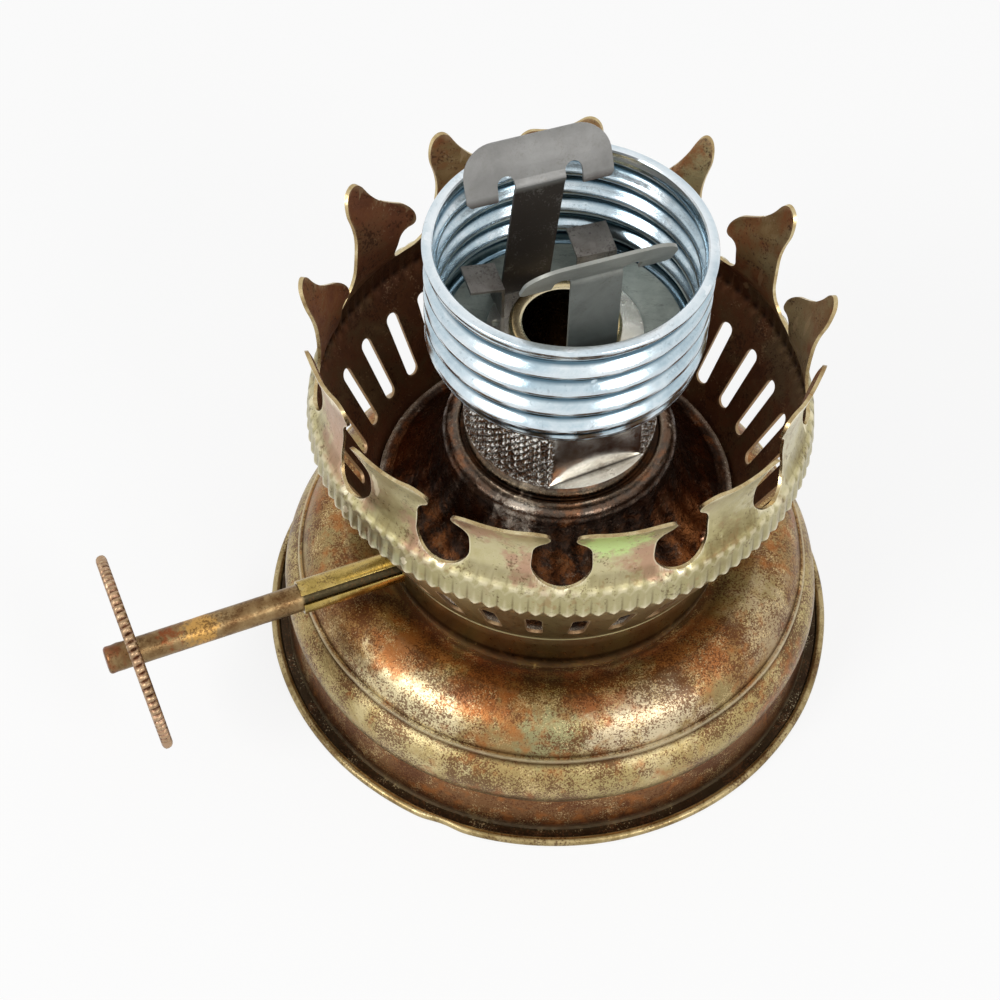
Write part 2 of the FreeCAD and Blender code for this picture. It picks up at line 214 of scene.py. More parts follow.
def softened(shape, width, angle):
    # small round on every edge sharper than this many degrees
    sharp = [edge for edge in shape.edges
             if len(edge.link_faces) == 2 and edge.calc_face_angle(0.0) > math.radians(angle)]
    bmesh.ops.bevel(shape, geom=sharp, offset=width, affect="EDGES", segments=2,
                    profile=0.5, material=-1, clamp_overlap=True)
    return shape


def copyOf(node):
    # a CAD node's mesh in millimetres, its loose triangles merged
    shape = bmesh.new()
    shape.from_mesh(nodes[node].data)
    bmesh.ops.scale(shape, vec=(1 / mm, 1 / mm, 1 / mm), verts=shape.verts)
    bmesh.ops.remove_doubles(shape, verts=shape.verts, dist=0.002)
    bmesh.ops.dissolve_limit(shape, angle_limit=math.radians(1), verts=shape.verts, edges=shape.edges)
    return shape


def makePiece(name, shape, body, materials, replaced, smoothAngle=35.0):
    bmesh.ops.scale(shape, vec=(mm, mm, mm), verts=shape.verts)
    mesh = bpy.data.meshes.new(name)
    shape.to_mesh(mesh)
    shape.free()
    for material in materials:
        mesh.materials.append(material)
    for polygon in mesh.polygons:
        polygon.use_smooth = True
    mesh.set_sharp_from_angle(angle=math.radians(smoothAngle))
    piece = placed(name, mesh)
    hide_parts(*replaced)
    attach(piece, body)
    print(name, len(mesh.polygons), "faces")


def addNode(tree, kind, inputs, **settings):
    node = tree.nodes.new(kind)
    for name, value in settings.items():
        setattr(node, name, value)
    for socket, value in inputs.items():
        if isinstance(value, bpy.types.NodeSocket):
            tree.links.new(value, node.inputs[socket])
        else:
            node.inputs[socket].default_value = value
    return node


def calculate(tree, operation, *values):
    return addNode(tree, "ShaderNodeMath", dict(enumerate(values)), operation=operation).outputs[0]


def remap(tree, value, start, end, low=0.0, high=1.0, **settings):
    # low at start and high at end
    inputs = {0: value, 1: start, 2: end, 3: low, 4: high}
    return addNode(tree, "ShaderNodeMapRange", inputs, **settings).outputs[0]


def noiseAt(tree, place, size, detail, roughness, seed, distortion=0.0):
    # cloudy noise with blobs about size millimetres wide
    inputs = {"Vector": place, "Scale": 1 / (size * mm), "Detail": detail, "Roughness": roughness,
              "Distortion": distortion, "W": seed}
    return addNode(tree, "ShaderNodeTexNoise", inputs, noise_dimensions="4D").outputs[0]


def specks(tree, place, size, cluster, low, high, seed):
    # fine grains that crowd together in patches about cluster millimetres wide
    crowding = 0.9
    grains = noiseAt(tree, place, size, 2.0, 0.6, seed)
    crowd = noiseAt(tree, place, cluster, 4.0, 0.6, seed + 3)
    crowd = calculate(tree, "MULTIPLY_ADD", crowd, crowding, -crowding / 2)
    return remap(tree, calculate(tree, "ADD", grains, crowd), low, high)


def zone(tree, place, kind, start, end, ragged, seed):
    # 0 at start and 1 at end, by height (Z) or by distance from the axis (R), in millimetres
    parts = addNode(tree, "ShaderNodeSeparateXYZ", {0: place}).outputs
    measure = parts[2]
    if kind == "R":
        flat = addNode(tree, "ShaderNodeCombineXYZ", {0: parts[0], 1: parts[1]}).outputs[0]
        measure = addNode(tree, "ShaderNodeVectorMath", {0: flat}, operation="LENGTH").outputs["Value"]
    edge = noiseAt(tree, place, 2.5, 5.0, 0.65, seed + 21)
    uneven = calculate(tree, "MULTIPLY_ADD", edge, ragged * mm, -ragged * mm / 2)
    return remap(tree, calculate(tree, "ADD", measure, uneven), start * mm, end * mm)


def spot(tree, place, centre, radius, seed):
    # soft ragged patch round a point given in millimetres
    offset = addNode(tree, "ShaderNodeVectorMath", {0: place, 1: Vector(centre) * mm}, operation="DISTANCE")
    ragged = noiseAt(tree, place, radius / 2.2, 5.0, 0.65, seed)
    reach = remap(tree, ragged, 0.25, 0.75, 1.7 * radius * mm, 0.1 * radius * mm)
    edge = calculate(tree, "SUBTRACT", offset.outputs["Value"], reach)
    fade = 0.35 * radius * mm
    return remap(tree, edge, fade, -fade, interpolation_type="SMOOTHSTEP")


def painted(tree, colour, mask, over, strength):
    # one more colour over what is there, where the mask is 1
    share = addNode(tree, "ShaderNodeMath", {0: mask, 1: strength}, operation="MULTIPLY", use_clamp=True)
    inputs = {0: share.outputs[0], 6: colour, 7: (*over, 1)}
    return addNode(tree, "ShaderNodeMix", inputs, data_type="RGBA").outputs[2]


def stained(tree, place, look):
    # cloudy mix of the tones, spread evenly over the middle of the noise
    clouds = noiseAt(tree, place, look["stainSize"], 9.0, 0.68, look["seed"], 0.4)
    ramp = addNode(tree, "ShaderNodeValToRGB", {0: clouds})
    tones = look["tones"]
    while len(ramp.color_ramp.elements) < len(tones):
        ramp.color_ramp.elements.new(0.5)
    for index, tone in enumerate(tones):
        ramp.color_ramp.elements[index].position = 0.32 + 0.36 * index / (len(tones) - 1)
        ramp.color_ramp.elements[index].color = (*tone, 1)
    return ramp.outputs[0]


def weatheringAndPaintedLight(tree, colour, place, grainPlace, look):
    seed = look["seed"]
    for index, (centre, radius, patchColour, strength) in enumerate(look["patches"]):
        mask = spot(tree, place, centre, radius, seed + index)
        colour = painted(tree, colour, mask, patchColour, strength)
    for kind, start, end, ragged, zoneColour, strength in look["zones"]:
        mask = zone(tree, place, kind, start, end, ragged, seed)
        colour = painted(tree, colour, mask, zoneColour, strength)
    for size, cluster, low, high, speckColour, strength in look["specks"]:
        mask = specks(tree, grainPlace, size, cluster, low, high, seed + size)
        colour = painted(tree, colour, mask, speckColour, strength)
    if "hollow" in look:  # darker in the hollows and brighter on sharp edges: painted shade and painted highlight
        pointed = addNode(tree, "ShaderNodeNewGeometry", {}).outputs["Pointiness"]
        colour = painted(tree, colour, remap(tree, pointed, 0.495, look["hollowEnd"]), *look["hollow"])
        colour = painted(tree, colour, remap(tree, pointed, 0.508, 0.55), *look["edge"])
    return colour


# what a finish has unless it says otherwise
plainLook = {"glossSize": 0.8, "grainSize": 0.25, "metallic": 1.0, "hollowEnd": 0.46,
             "patches": (), "zones": (), "specks": ()}


def agedMetalWithPaintedLight(name, ownLook):
    # plated or bare metal with stains and specks, painted shade in the hollows, painted highlight on sharp
    # edges, and painted light in some patches and zones
    look = {**plainLook, **ownLook}
    seed = look["seed"]
    material = bpy.data.materials.new(name)
    material.use_nodes = True
    tree = material.node_tree
    shader = tree.nodes["Principled BSDF"]
    place = addNode(tree, "ShaderNodeTexCoord", {}).outputs["Object"]
    grainPlace = place
    if "grainStretch" in look:  # brushed along one direction
        inputs = {"Vector": place, "Rotation": look["grainTurn"], "Scale": look["grainStretch"]}
        grainPlace = addNode(tree, "ShaderNodeMapping", inputs).outputs[0]
    colour = weatheringAndPaintedLight(tree, stained(tree, place, look), place, grainPlace, look)
    tree.links.new(colour, shader.inputs["Base Color"])
    shader.inputs["Metallic"].default_value = look["metallic"]
    gloss = noiseAt(tree, grainPlace, look["glossSize"], 6.0, 0.7, seed + 5)
    tree.links.new(remap(tree, gloss, 0.3, 0.7, *look["roughness"]), shader.inputs["Roughness"])
    grain = noiseAt(tree, grainPlace, look["grainSize"], 5.0, 0.6, seed + 9)
    inputs = {"Height": grain, "Distance": look["grainDepth"] * mm, "Strength": 1.0}
    bump = addNode(tree, "ShaderNodeBump", inputs).outputs[0]
    if "dents" in look:
        size, depth = look["dents"]
        dents = noiseAt(tree, place, size, 2.0, 0.5, seed + 13)
        inputs = {"Height": dents, "Distance": depth * mm, "Strength": 1.0, "Normal": bump}
        bump = addNode(tree, "ShaderNodeBump", inputs).outputs[0]
    tree.links.new(bump, shader.inputs["Normal"])
    return material


gallerySizes = {
    "sheet": 0.34,
    "footRadius": 19.1,
    "footFlange": 1.4,
    "bandHeight": 6.9,
    "bandTaper": 0.8,
    "flareHeight": 14.4,
    "flareSpread": 6.5,
    "seamStep": 0.12,  # fine line where the flare leaves the band
    "fluteCount": 108,
    "fluteHeight": 3.3,
    "fluteSwell": 0.42,
    "fluteDent": 0.25,  # row of small dents above the flutes
    "innerSwell": 0.75,  # the inner side follows the ribs less sharply
    "prongCount": 13,
    "prongSpread": 1.6,
    "slotCount": 32,
    "slotLength": 8.4,
    "slotWidth": 1.7,
    "neckInset": 0.8,  # how far the wall draws in above the flutes
    "gapRadius": 3.1,
    "gapRise": 0.5,
    "mouthWidth": 3.3,
    "lobeRadius": 1.8,
    "notchDepth": 0.7,
    "lipBend": 0.4,  # the prongs' top edge is rolled inwards a little
    # each prong by its place round the crown: lean in mm, twist and roll in degrees, shift in mm, stretch
    "bentProngs": {
        -6: (-1.7, 3, 2, 0, 0.87), -5: (-1.7, 5, 0, 0, 0.92), -4: (-1.8, 8, 0, 0, 1),
        -3: (-1.5, -19, -46, -2.5, 1), -2: (-0.8, -16, -44, -2.1, 1), -1: (-0.8, -38, -46, -2.6, 1),
        0: (0.8, -14, -6, 0.3, 1), 1: (-1.0, 25, 36, 0.6, 1), 2: (-1.4, 25, 44, 0.5, 1),
        3: (-1.9, 22, 47, 2.1, 1), 4: (-1.8, -8, 0, 0, 1), 5: (-1.7, -4, 0, 0, 0.92),
        6: (-1.7, -3, -2, 0, 0.87),
    },
}


def galleryHeights():
    sizes = gallerySizes
    foot = lowOf("gallery").z
    band = foot + sizes["bandHeight"]
    flare = band + sizes["flareHeight"]
    flute = flare + sizes["fluteHeight"]
    return foot, band, flare, flute


def gapCutters():
    # keyhole gaps between the prongs, their mouths rounded and the prongs' tops notched
    sizes = gallerySizes
    flute = galleryHeights()[3]
    tip = sizes["footRadius"] + sizes["bandTaper"] + sizes["flareSpread"] + sizes["prongSpread"]
    radius, lobe = sizes["gapRadius"], sizes["lobeRadius"]
    low = flute + sizes["gapRise"] + radius
    across = sizes["mouthWidth"] / 2 + lobe
    rise = math.sqrt((radius + lobe) ** 2 - across ** 2)
    high = highOf("gallery").z - lobe - rise
    count = sizes["prongCount"]
    halfPitch = tip * math.tan(math.pi / count)
    drop = lobe - sizes["notchDepth"]
    span = halfPitch - across
    notch = (span ** 2 - lobe ** 2 + drop ** 2) / (2 * sizes["notchDepth"])
    lobeZ = high + rise
    notchZ = lobeZ + drop + notch
    toLobe = math.atan2(rise, across)
    toNotch = math.atan2(notchZ - lobeZ, span)
    half = arcPoints((0, low), radius, -math.pi / 2, 0, 14)
    half += arcPoints((0, high), radius, 0, toLobe, 9)
    half += arcPoints((across, lobeZ), lobe, toLobe + math.pi, toNotch, 18)[1:]
    half += arcPoints((halfPitch, notchZ), notch, toNotch - math.pi, -math.pi / 2, 6)[1:]
    half.append(Vector((halfPitch, lobeZ + 4 * lobe)))
    outline = half + [Vector((-point.x, point.y)) for point in half[:0:-1]]
    cutter = withFinish(slab(outline, tip * 0.8, tip * 1.2), 1)
    # neighbours overlap, so they are cut in turns
    turns = [range(0, count - 1, 2), range(1, count, 2), range(count - 1, count)]
    return [around(cutter, count, -90.0, chosen) for chosen in turns]


def slotCutters():
    sizes = gallerySizes
    band, flare = galleryHeights()[1:3]
    half = sizes["slotWidth"] / 2
    straight = (sizes["slotLength"] - sizes["slotWidth"]) / 2
    outline = arcPoints((0, straight), half, 0, math.pi, 12)
    outline += arcPoints((0, -straight), half, math.pi, math.tau, 12)
    # the slot walls take the darker inside finish (index 2): painted shade, so the slots look dark
    cutter = withFinish(slab(outline, -2.0, 2.0), 2)
    lean = math.atan2(sizes["flareSpread"], sizes["flareHeight"])
    middle = sizes["footRadius"] + sizes["bandTaper"] + sizes["flareSpread"] / 2
    shifted(turned(cutter, math.degrees(lean), "Y"), middle, 0, (band + flare) / 2)
    return around(cutter, sizes["slotCount"], 180.0 / sizes["slotCount"])


def fluteSwell(angle, height, flare, flute):
    # a pressed roll with upright ribs, sharp below and fading upwards, and small dents above it
    sizes = gallerySizes
    across = zigzag(sizes["fluteCount"] * angle / math.tau)
    rib = 1 - across ** 1.25
    lower = flare + 0.45 * across ** 1.5
    share = (height - lower) / (flute - lower)
    fade = smoothStep(height, lower - 0.3, lower + 0.15) * (1 - 0.75 * smoothStep(share, 0.1, 1.0))
    fade *= 1 - smoothStep(height, flute - 0.5, flute + 0.1)
    dent = max(0.0, 1 - across * 1.6) * max(0.0, 1 - abs(height - flute - 0.1) / 0.35)
    return sizes["fluteSwell"] * fade * (0.42 + 0.58 * rib) - sizes["fluteDent"] * dent


def bendProngs(shape, root):
    sizes = gallerySizes
    count = sizes["prongCount"]
    pitch = math.tau / count
    height = highOf("gallery").z - root
    for vertex in shape.verts:
        rise = vertex.co.z - root
        if rise <= 0:
            continue
        radius, angle = polar(vertex)
        index = round((angle - math.pi / 2) / pitch)
        middle = math.pi / 2 + index * pitch
        lean, twist, roll, shift, stretch = sizes["bentProngs"][(index + count // 2) % count - count // 2]
        rise *= stretch
        across = radius * math.sin(angle - middle)
        out = radius * math.cos(angle - middle)
        share = rise / height
        out -= sizes["lipBend"] * smoothStep(share, 0.86, 1.05)
        turn = math.radians(roll) * share
        side = across * math.cos(turn) - rise * math.sin(turn / 2)
        rise = rise * math.cos(turn / 2) + across * math.sin(turn)
        turn = math.radians(twist) * share
        side = side * math.cos(turn) + shift * share
        out += across * math.sin(turn) + lean * share
        vertex.co.x = out * math.cos(middle) - side * math.sin(middle)
        vertex.co.y = out * math.sin(middle) + side * math.cos(middle)
        vertex.co.z = root + rise


def makeGallery(materials):
    sizes = gallerySizes
    foot, band, flare, flute = galleryHeights()
    top = highOf("gallery").z
    bandTop = sizes["footRadius"] + sizes["bandTaper"]
    mouth = bandTop + sizes["flareSpread"]
    step = sizes["seamStep"]
    outer = evenly([(sizes["footRadius"] - sizes["footFlange"], foot), (sizes["footRadius"], foot)], 0.7)
    outer += evenly([outer[-1], (bandTop, band - 0.15)], 1.2)[1:]
    outer += corners((bandTop - step, band), (bandTop + step, band + 0.25))
    outer += evenly([outer[-1], (mouth - 0.15, flare - 0.4)], 1.1)[1:]
    outer += evenly([outer[-1], (mouth, flare), (mouth, flute)], 0.3)[1:]
    neck = mouth - sizes["neckInset"]
    outer += corners((mouth - 0.1, flute + 0.25), (neck + 0.25, flute + 0.6))
    prongTip = (mouth + sizes["prongSpread"], top)
    outer += curveThrough((neck + 0.05, flute + 1.2), (neck + 0.25, flute + 6.0), prongTip, 14)
    shape = lathe(sheetSection(outer, sizes["sheet"]), 8 * sizes["fluteCount"])
    for vertex in shape.verts:
        if flare - 0.6 < vertex.co.z < flute + 0.6:
            radius, angle = polar(vertex)
            swell = fluteSwell(angle, vertex.co.z, flare, flute)
            if radius < mouth - sizes["sheet"] / 2:
                swell *= sizes["innerSwell"]
            pushOut(vertex, angle, swell)
    gaps = gapCutters()
    for cutter in (joined([gaps[0], slotCutters()]), gaps[1], joined([gaps[2], guideHole()])):
        shape = cutOut(shape, cutter)
    bmesh.ops.remove_doubles(shape, verts=shape.verts, dist=0.004)
    bmesh.ops.dissolve_degenerate(shape, edges=shape.edges, dist=0.004)
    shape.normal_update()
    for face in shape.faces:  # faces that look at the axis get the darker inside
        middle = face.calc_center_median()
        inwards = face.normal.x * middle.x + face.normal.y * middle.y
        if face.material_index == 0 and inwards < -0.2 * math.hypot(middle.x, middle.y):
            face.material_index = 2
    bendProngs(shape, flute + sizes["gapRise"])
    makePiece("galleryCrown", shape, "burner", materials, ["gallery"], 40.0)


footSizes = {
    "domeSteps": 360,
    "sheet": 0.45,
    "skirtTaper": 0.5,
    "skirtInset": 0.45,  # the bead stands out beyond the skirt
    "beadLow": 5.9,
    "beadHigh": 12.1,
    "beadTaper": 1.7,
    "beadGroove": 0.25,
    "beadRidge": 0.25,
    "crestInset": 5.4,  # from the bead's upper edge to the top of the dome
    "domeFlange": 2.35,
    "rollRadius": 0.5,
    "panWidth": 3.6,
    "panSheet": 0.42,
    "kinkAngle": -110.5,  # small dent in the rolled rim
    "kinkSpread": 0.09,
    "kinkDepth": 0.3,
    "collarFlange": 2.6,
    "collarThreadDepth": 0.45,
    "collarThreadPitch": 2.4,
}


def makeDome(material):
    sizes = footSizes
    low, high = lowOf("dome_cover"), highOf("dome_cover")
    skirtFoot = (high.x - low.x) / 2
    skirtTop = skirtFoot - sizes["skirtTaper"]
    skirt = skirtTop - sizes["skirtInset"]
    beadLow, beadHigh = sizes["beadLow"], sizes["beadHigh"]
    beadRim = skirtTop - sizes["beadTaper"]
    groove, ridge = sizes["beadGroove"], sizes["beadRidge"]
    crest = (beadRim - sizes["crestInset"], high.z)
    inner = (gallerySizes["footRadius"] + 0.05, lowOf("gallery").z)
    outer = evenly([(skirtFoot, low.z), (skirt, beadLow - 0.7)], 0.6)
    outer += corners((skirt - groove, beadLow - 0.35), (skirtTop - 0.15, beadLow - 0.2))
    outer += curveThrough(outer[-1], (skirtTop + 0.22, beadLow + 2.5), (beadRim + 0.35, beadHigh - 1.1), 12)
    outer += corners((beadRim, beadHigh - 0.75), (beadRim + ridge, beadHigh - 0.35),
                     (beadRim + ridge, beadHigh + 0.05), (beadRim - 0.25, beadHigh + 0.1))
    outer += curveThrough(outer[-1], (beadRim - 2.1, beadHigh + 3.1), crest, 18)
    outer += curveThrough(crest, ((crest[0] + inner[0]) / 2, crest[1] - 0.45), inner, 8)
    outer += evenly([inner, (inner[0] - sizes["domeFlange"], inner[1])], 0.8)[1:]
    shape = lathe(sheetSection(outer, sizes["sheet"]), sizes["domeSteps"])
    rippled(shape, amount=0.10, size=9.0, seed=3.0)
    makePiece("domeCover", shape, "burner", [material], ["dome_cover"])


def makePan(material):
    sizes = footSizes
    rim = highOf("base_pan").x
    roll, sheet = sizes["rollRadius"], sizes["panSheet"]
    inside = rim - sizes["panWidth"]
    outline = arcPoints((rim - roll, roll), roll, math.radians(165), math.radians(-100), 16)
    outline += corners((rim - 2 * roll, 0.0), (inside, 0.0), (inside, sheet), (rim - 2.2 * roll, sheet))
    shape = lathe(outline, 360)
    kink = math.radians(sizes["kinkAngle"])
    for vertex in shape.verts:
        radius, angle = polar(vertex)
        away = abs(angle - kink)
        if away < sizes["kinkSpread"]:
            dent = sizes["kinkDepth"] * (1 - smoothStep(away, 0.0, sizes["kinkSpread"]))
            pushOut(vertex, kink, -dent * smoothStep(radius, rim - 1.2, rim))
    rippled(shape, amount=0.09, size=11.0, seed=8.0)
    makePiece("basePan", shape, "burner", [material], ["base_pan"])


def makeCollar(material):
    sizes = footSizes
    high = highOf("screw_collar")
    radius, top = high.x, high.z
    outer = evenly([(radius, 0.0), (radius, top - 0.3), (radius - 0.3, top)], 0.25)
    outer += corners((radius - sizes["collarFlange"], top))
    shape = lathe(sheetSection(outer, sizes["sheet"]), 240)
    for vertex in shape.verts:
        angle = polar(vertex)[1]
        turns = vertex.co.z / sizes["collarThreadPitch"] - angle / math.tau
        threaded = window(vertex.co.z, 0.8, 1.8, top - 3.0, top - 2.0)
        dip = sizes["collarThreadDepth"] * threaded * (0.5 - 0.5 * math.cos(math.tau * turns))
        pushOut(vertex, angle, -dip)
    makePiece("screwCollar", shape, "burner", [material], ["screw_collar"])


coneSizes = {
    "sheet": 0.45,
    "rimHeight": 23.0,
    "rimRadius": 19.69,
    "rimWidth": 1.6,
    "waist": (14.5, 3.7),  # radius, height above the rim
    "shoulderRadius": 12.6,
    "shoulderRound": 1.4,
    "seatRadius": 10.7,
    "seatRecess": 0.5,
    "boreRadius": 5.05,
    "lugRadius": 1.1,
    "lugCount": 3,
    "lugAngle": -23.0,
}


def makeCone(material):
    sizes = coneSizes
    rimZ, rim = sizes["rimHeight"], sizes["rimRadius"]
    top = highOf("air_cone").z
    seat, seatRadius = top - sizes["seatRecess"], sizes["seatRadius"]
    foot = rim - sizes["rimWidth"]
    side, bend = sizes["shoulderRadius"], sizes["shoulderRound"]
    outer = evenly([(rim, rimZ), (foot + 0.2, rimZ), (foot, rimZ + 0.12)], 0.5)
    outer += curveThrough(outer[-1], (sizes["waist"][0], rimZ + sizes["waist"][1]), (side, top - bend), 22)
    outer += arcPoints((side - bend, top - bend), bend, 0, math.pi / 2, 9)[1:]
    outer += curveThrough(outer[-1], (seatRadius + 0.1, top - 0.1), (seatRadius - 0.1, seat), 4)
    outer += evenly([outer[-1], (sizes["boreRadius"], seat)], 0.8)[1:]
    shape = lathe(sheetSection(outer, sizes["sheet"]), 256)
    rippled(shape, amount=0.12, size=8.0, seed=5.0)
    lug = bmesh.new()
    bmesh.ops.create_uvsphere(lug, u_segments=28, v_segments=16, radius=sizes["lugRadius"])
    bmesh.ops.scale(lug, vec=(1, 1, 0.95), verts=lug.verts)
    shifted(lug, foot - 0.05, 0, rimZ)
    underside = rimZ - sizes["sheet"] / 2
    for vertex in lug.verts:
        vertex.co.z = max(vertex.co.z, underside)
    lugs = around(lug, sizes["lugCount"], sizes["lugAngle"])
    makePiece("airCone", joined([shape, lugs]), "burner", [material], ["air_cone"])


spindleSizes = {
    "angle": 203.9,
    "offset": 1.4,
    "height": 19.2,
    "innerReach": -9.2,
    "outerReach": 52.5,
    "radius": 1.5,
    "guideInner": 8.05,
    "guideOuter": 30.8,
    "guideBore": 1.55,
    "guideRadius": 1.86,
    "guideGap": 0.09,  # round the tube, where it goes through the gallery
    "seamAngle": 50.0,  # from straight up, towards the front
    "seamWidth": 0.95,
    "knobTilt": 3.5,  # the knob sits a little askew
    "knobReach": 49.4,
    "knobRadius": 10.9,
    "knobThickness": 1.2,
    "toothCount": 78,
    "toothDepth": 0.38,
    "toothWear": 0.08,
}


def alongSpindle(shape):
    # from a shape built along +Z to the spindle's own line
    sizes = spindleSizes
    place = Matrix.Rotation(math.radians(sizes["angle"]), 4, "Z")
    place = place @ Matrix.Translation((0, sizes["offset"], sizes["height"]))
    bmesh.ops.transform(shape, matrix=place @ Matrix.Rotation(math.pi / 2, 4, "Y"), verts=shape.verts)
    return shape


def guideHole():
    radius = spindleSizes["guideRadius"] + spindleSizes["guideGap"]
    near, far = 12.0, 26.0  # reaches through the band on one side only
    return alongSpindle(withFinish(lathe([(0, near), (radius, near), (radius, far), (0, far)], 40, False), 1))


def makeSpindle(material):
    sizes = spindleSizes
    low, high, radius = sizes["innerReach"], sizes["outerReach"], sizes["radius"]
    outline = evenly([(0, low), (radius - 0.3, low), (radius, low + 0.3), (radius, high - 0.35)], 0.6)
    outline += arcPoints((radius - 0.4, high - 0.4), 0.4, 0, math.pi / 2, 5)[1:]
    outline += corners((radius * 0.45, high), (0, high - 0.02))
    shape = lathe(outline, 40, False)
    for vertex in shape.verts:  # hammered a little past the knob, rough from there to the tip
        rough = 0.015 + 0.05 * smoothStep(vertex.co.z, sizes["knobReach"], sizes["knobReach"] + 1.5)
        spread = Vector((vertex.co.x, vertex.co.y, 0))
        vertex.co += spread * rough * noise.noise(vertex.co / 0.9)
    makePiece("wickSpindle", alongSpindle(shape), "spindle", [material],
              ["wick_spindle"], 50.0)


def makeGuide(material):
    # rolled tube whose long edges do not quite meet
    sizes = spindleSizes
    start = -math.radians(sizes["seamAngle"])
    half = sizes["seamWidth"] / 2 / sizes["guideBore"]
    outer, inner = [arcPoints((0, 0), radius, start + half, start + math.tau - half, 52)
                    for radius in (sizes["guideRadius"], sizes["guideBore"])]
    shape = slab(outer + inner[::-1], 0, sizes["guideOuter"] - sizes["guideInner"])
    softened(turned(turned(shape, -90, "Y"), 90), 0.07, 50.0)
    shifted(shape, 0, 0, sizes["guideInner"])
    makePiece("spindleGuide", alongSpindle(shape), "burner", [material], ["spindle_guide"])


def makeKnob(material):
    sizes = spindleSizes
    half, rim = sizes["knobThickness"] / 2, sizes["knobRadius"]
    bore = sizes["radius"] + 0.05
    upper = evenly([(bore + 0.3, half), (rim * 0.5, half), (rim - 1.0, half)], 1.4)
    upper += corners((rim - 0.55, half), (rim - 0.25, half - 0.1), (rim - 0.05, half - 0.3))
    lower = [Vector((point.x, -point.y)) for point in upper[::-1]]
    shape = lathe(corners((bore, -half), (bore, half)) + upper + corners((rim, 0.0)) + lower,
                  8 * sizes["toothCount"])
    for vertex in shape.verts:
        radius, angle = polar(vertex)
        across = math.modf(sizes["toothCount"] * angle / math.tau + 1000 + 0.12 * vertex.co.z / half)[0]
        valley = 1 - math.sin(math.pi * across) ** 0.7
        dip = sizes["toothDepth"] * valley * smoothStep(radius, rim - 0.6, rim - 0.15)
        worn = sizes["toothWear"] * noise.noise(Vector((angle * 9, vertex.co.z, 0)))
        pushOut(vertex, angle, -dip - worn * smoothStep(radius, rim - 1.0, rim))
    shifted(turned(shape, sizes["knobTilt"], "Y"), 0, 0, sizes["knobReach"])
    makePiece("wickKnob", alongSpindle(shape), "spindle", [material], ["wick_knob"], 50.0)


holderSizes = {
    "threadGap": 0.05,
    "couplerRadius": 10.3,
    "footHeight": 2.2,
    "flatAngle": -64.0,
    "flatDepth": 1.65,
    "knurlPitch": 1.02,
    "knurlDepth": 0.26,
    "shellRadius": 14.3,
    "shellSheet": 0.4,
    "shellTurns": 4.5,
    "firstRidge": 0.45,  # turn at which the thread starts
    "ridgeDepth": 0.95,
    "lipRadius": 14.4,
    "lipWidth": 1.1,
    "lipHeight": 1.0,
    "lipRound": 0.32,
    "nippleRadius": 5.0,
    "nippleBore": 4.35,
    "nippleFlange": 5.75,
    "flangeHeight": 1.2,
    "nipplePitch": 1.0,
    "nippleThread": 0.28,
}


def makeCoupler(material):
    sizes = holderSizes
    low, high = lowOf("knurled_coupler").z, highOf("knurled_coupler").z
    radius, bore = sizes["couplerRadius"], sizes["nippleRadius"] + sizes["threadGap"]
    shelf = low + sizes["footHeight"]
    outline = corners((bore, low), (radius - 0.15, low), (radius, low + 0.15))
    outline += evenly([(radius, low + 0.15), (radius, shelf - 0.06)], 0.5)[1:]
    outline += evenly([(radius, shelf), (radius, high - 0.25)], 0.15)
    outline += corners((radius - 0.2, high), (bore, high))
    shape = lathe(outline, 432)
    count = round(math.tau * radius / sizes["knurlPitch"])
    for vertex in shape.verts:
        reach, angle = polar(vertex)
        if reach < radius - 0.5:
            continue
        rise = (vertex.co.z - shelf) / sizes["knurlPitch"]
        turns = count * angle / math.tau
        ridge = max(zigzag(turns + rise), zigzag(turns - rise))
        knurled = window(vertex.co.z, shelf + 0.15, shelf + 0.5, high - 0.7, high - 0.35)
        reach -= sizes["knurlDepth"] * knurled * smoothStep(ridge, 0.25, 1.0)
        if vertex.co.z > shelf - 0.02:
            for flat in (sizes["flatAngle"], sizes["flatAngle"] + 180):
                away = math.cos(angle - math.radians(flat))
                if away > 0.5:
                    reach = min(reach, (radius - sizes["flatDepth"]) / away)
        vertex.co.x, vertex.co.y = reach * math.cos(angle), reach * math.sin(angle)
    makePiece("knurledCoupler", shape, "burner", [material], ["knurled_coupler"], 28.0)


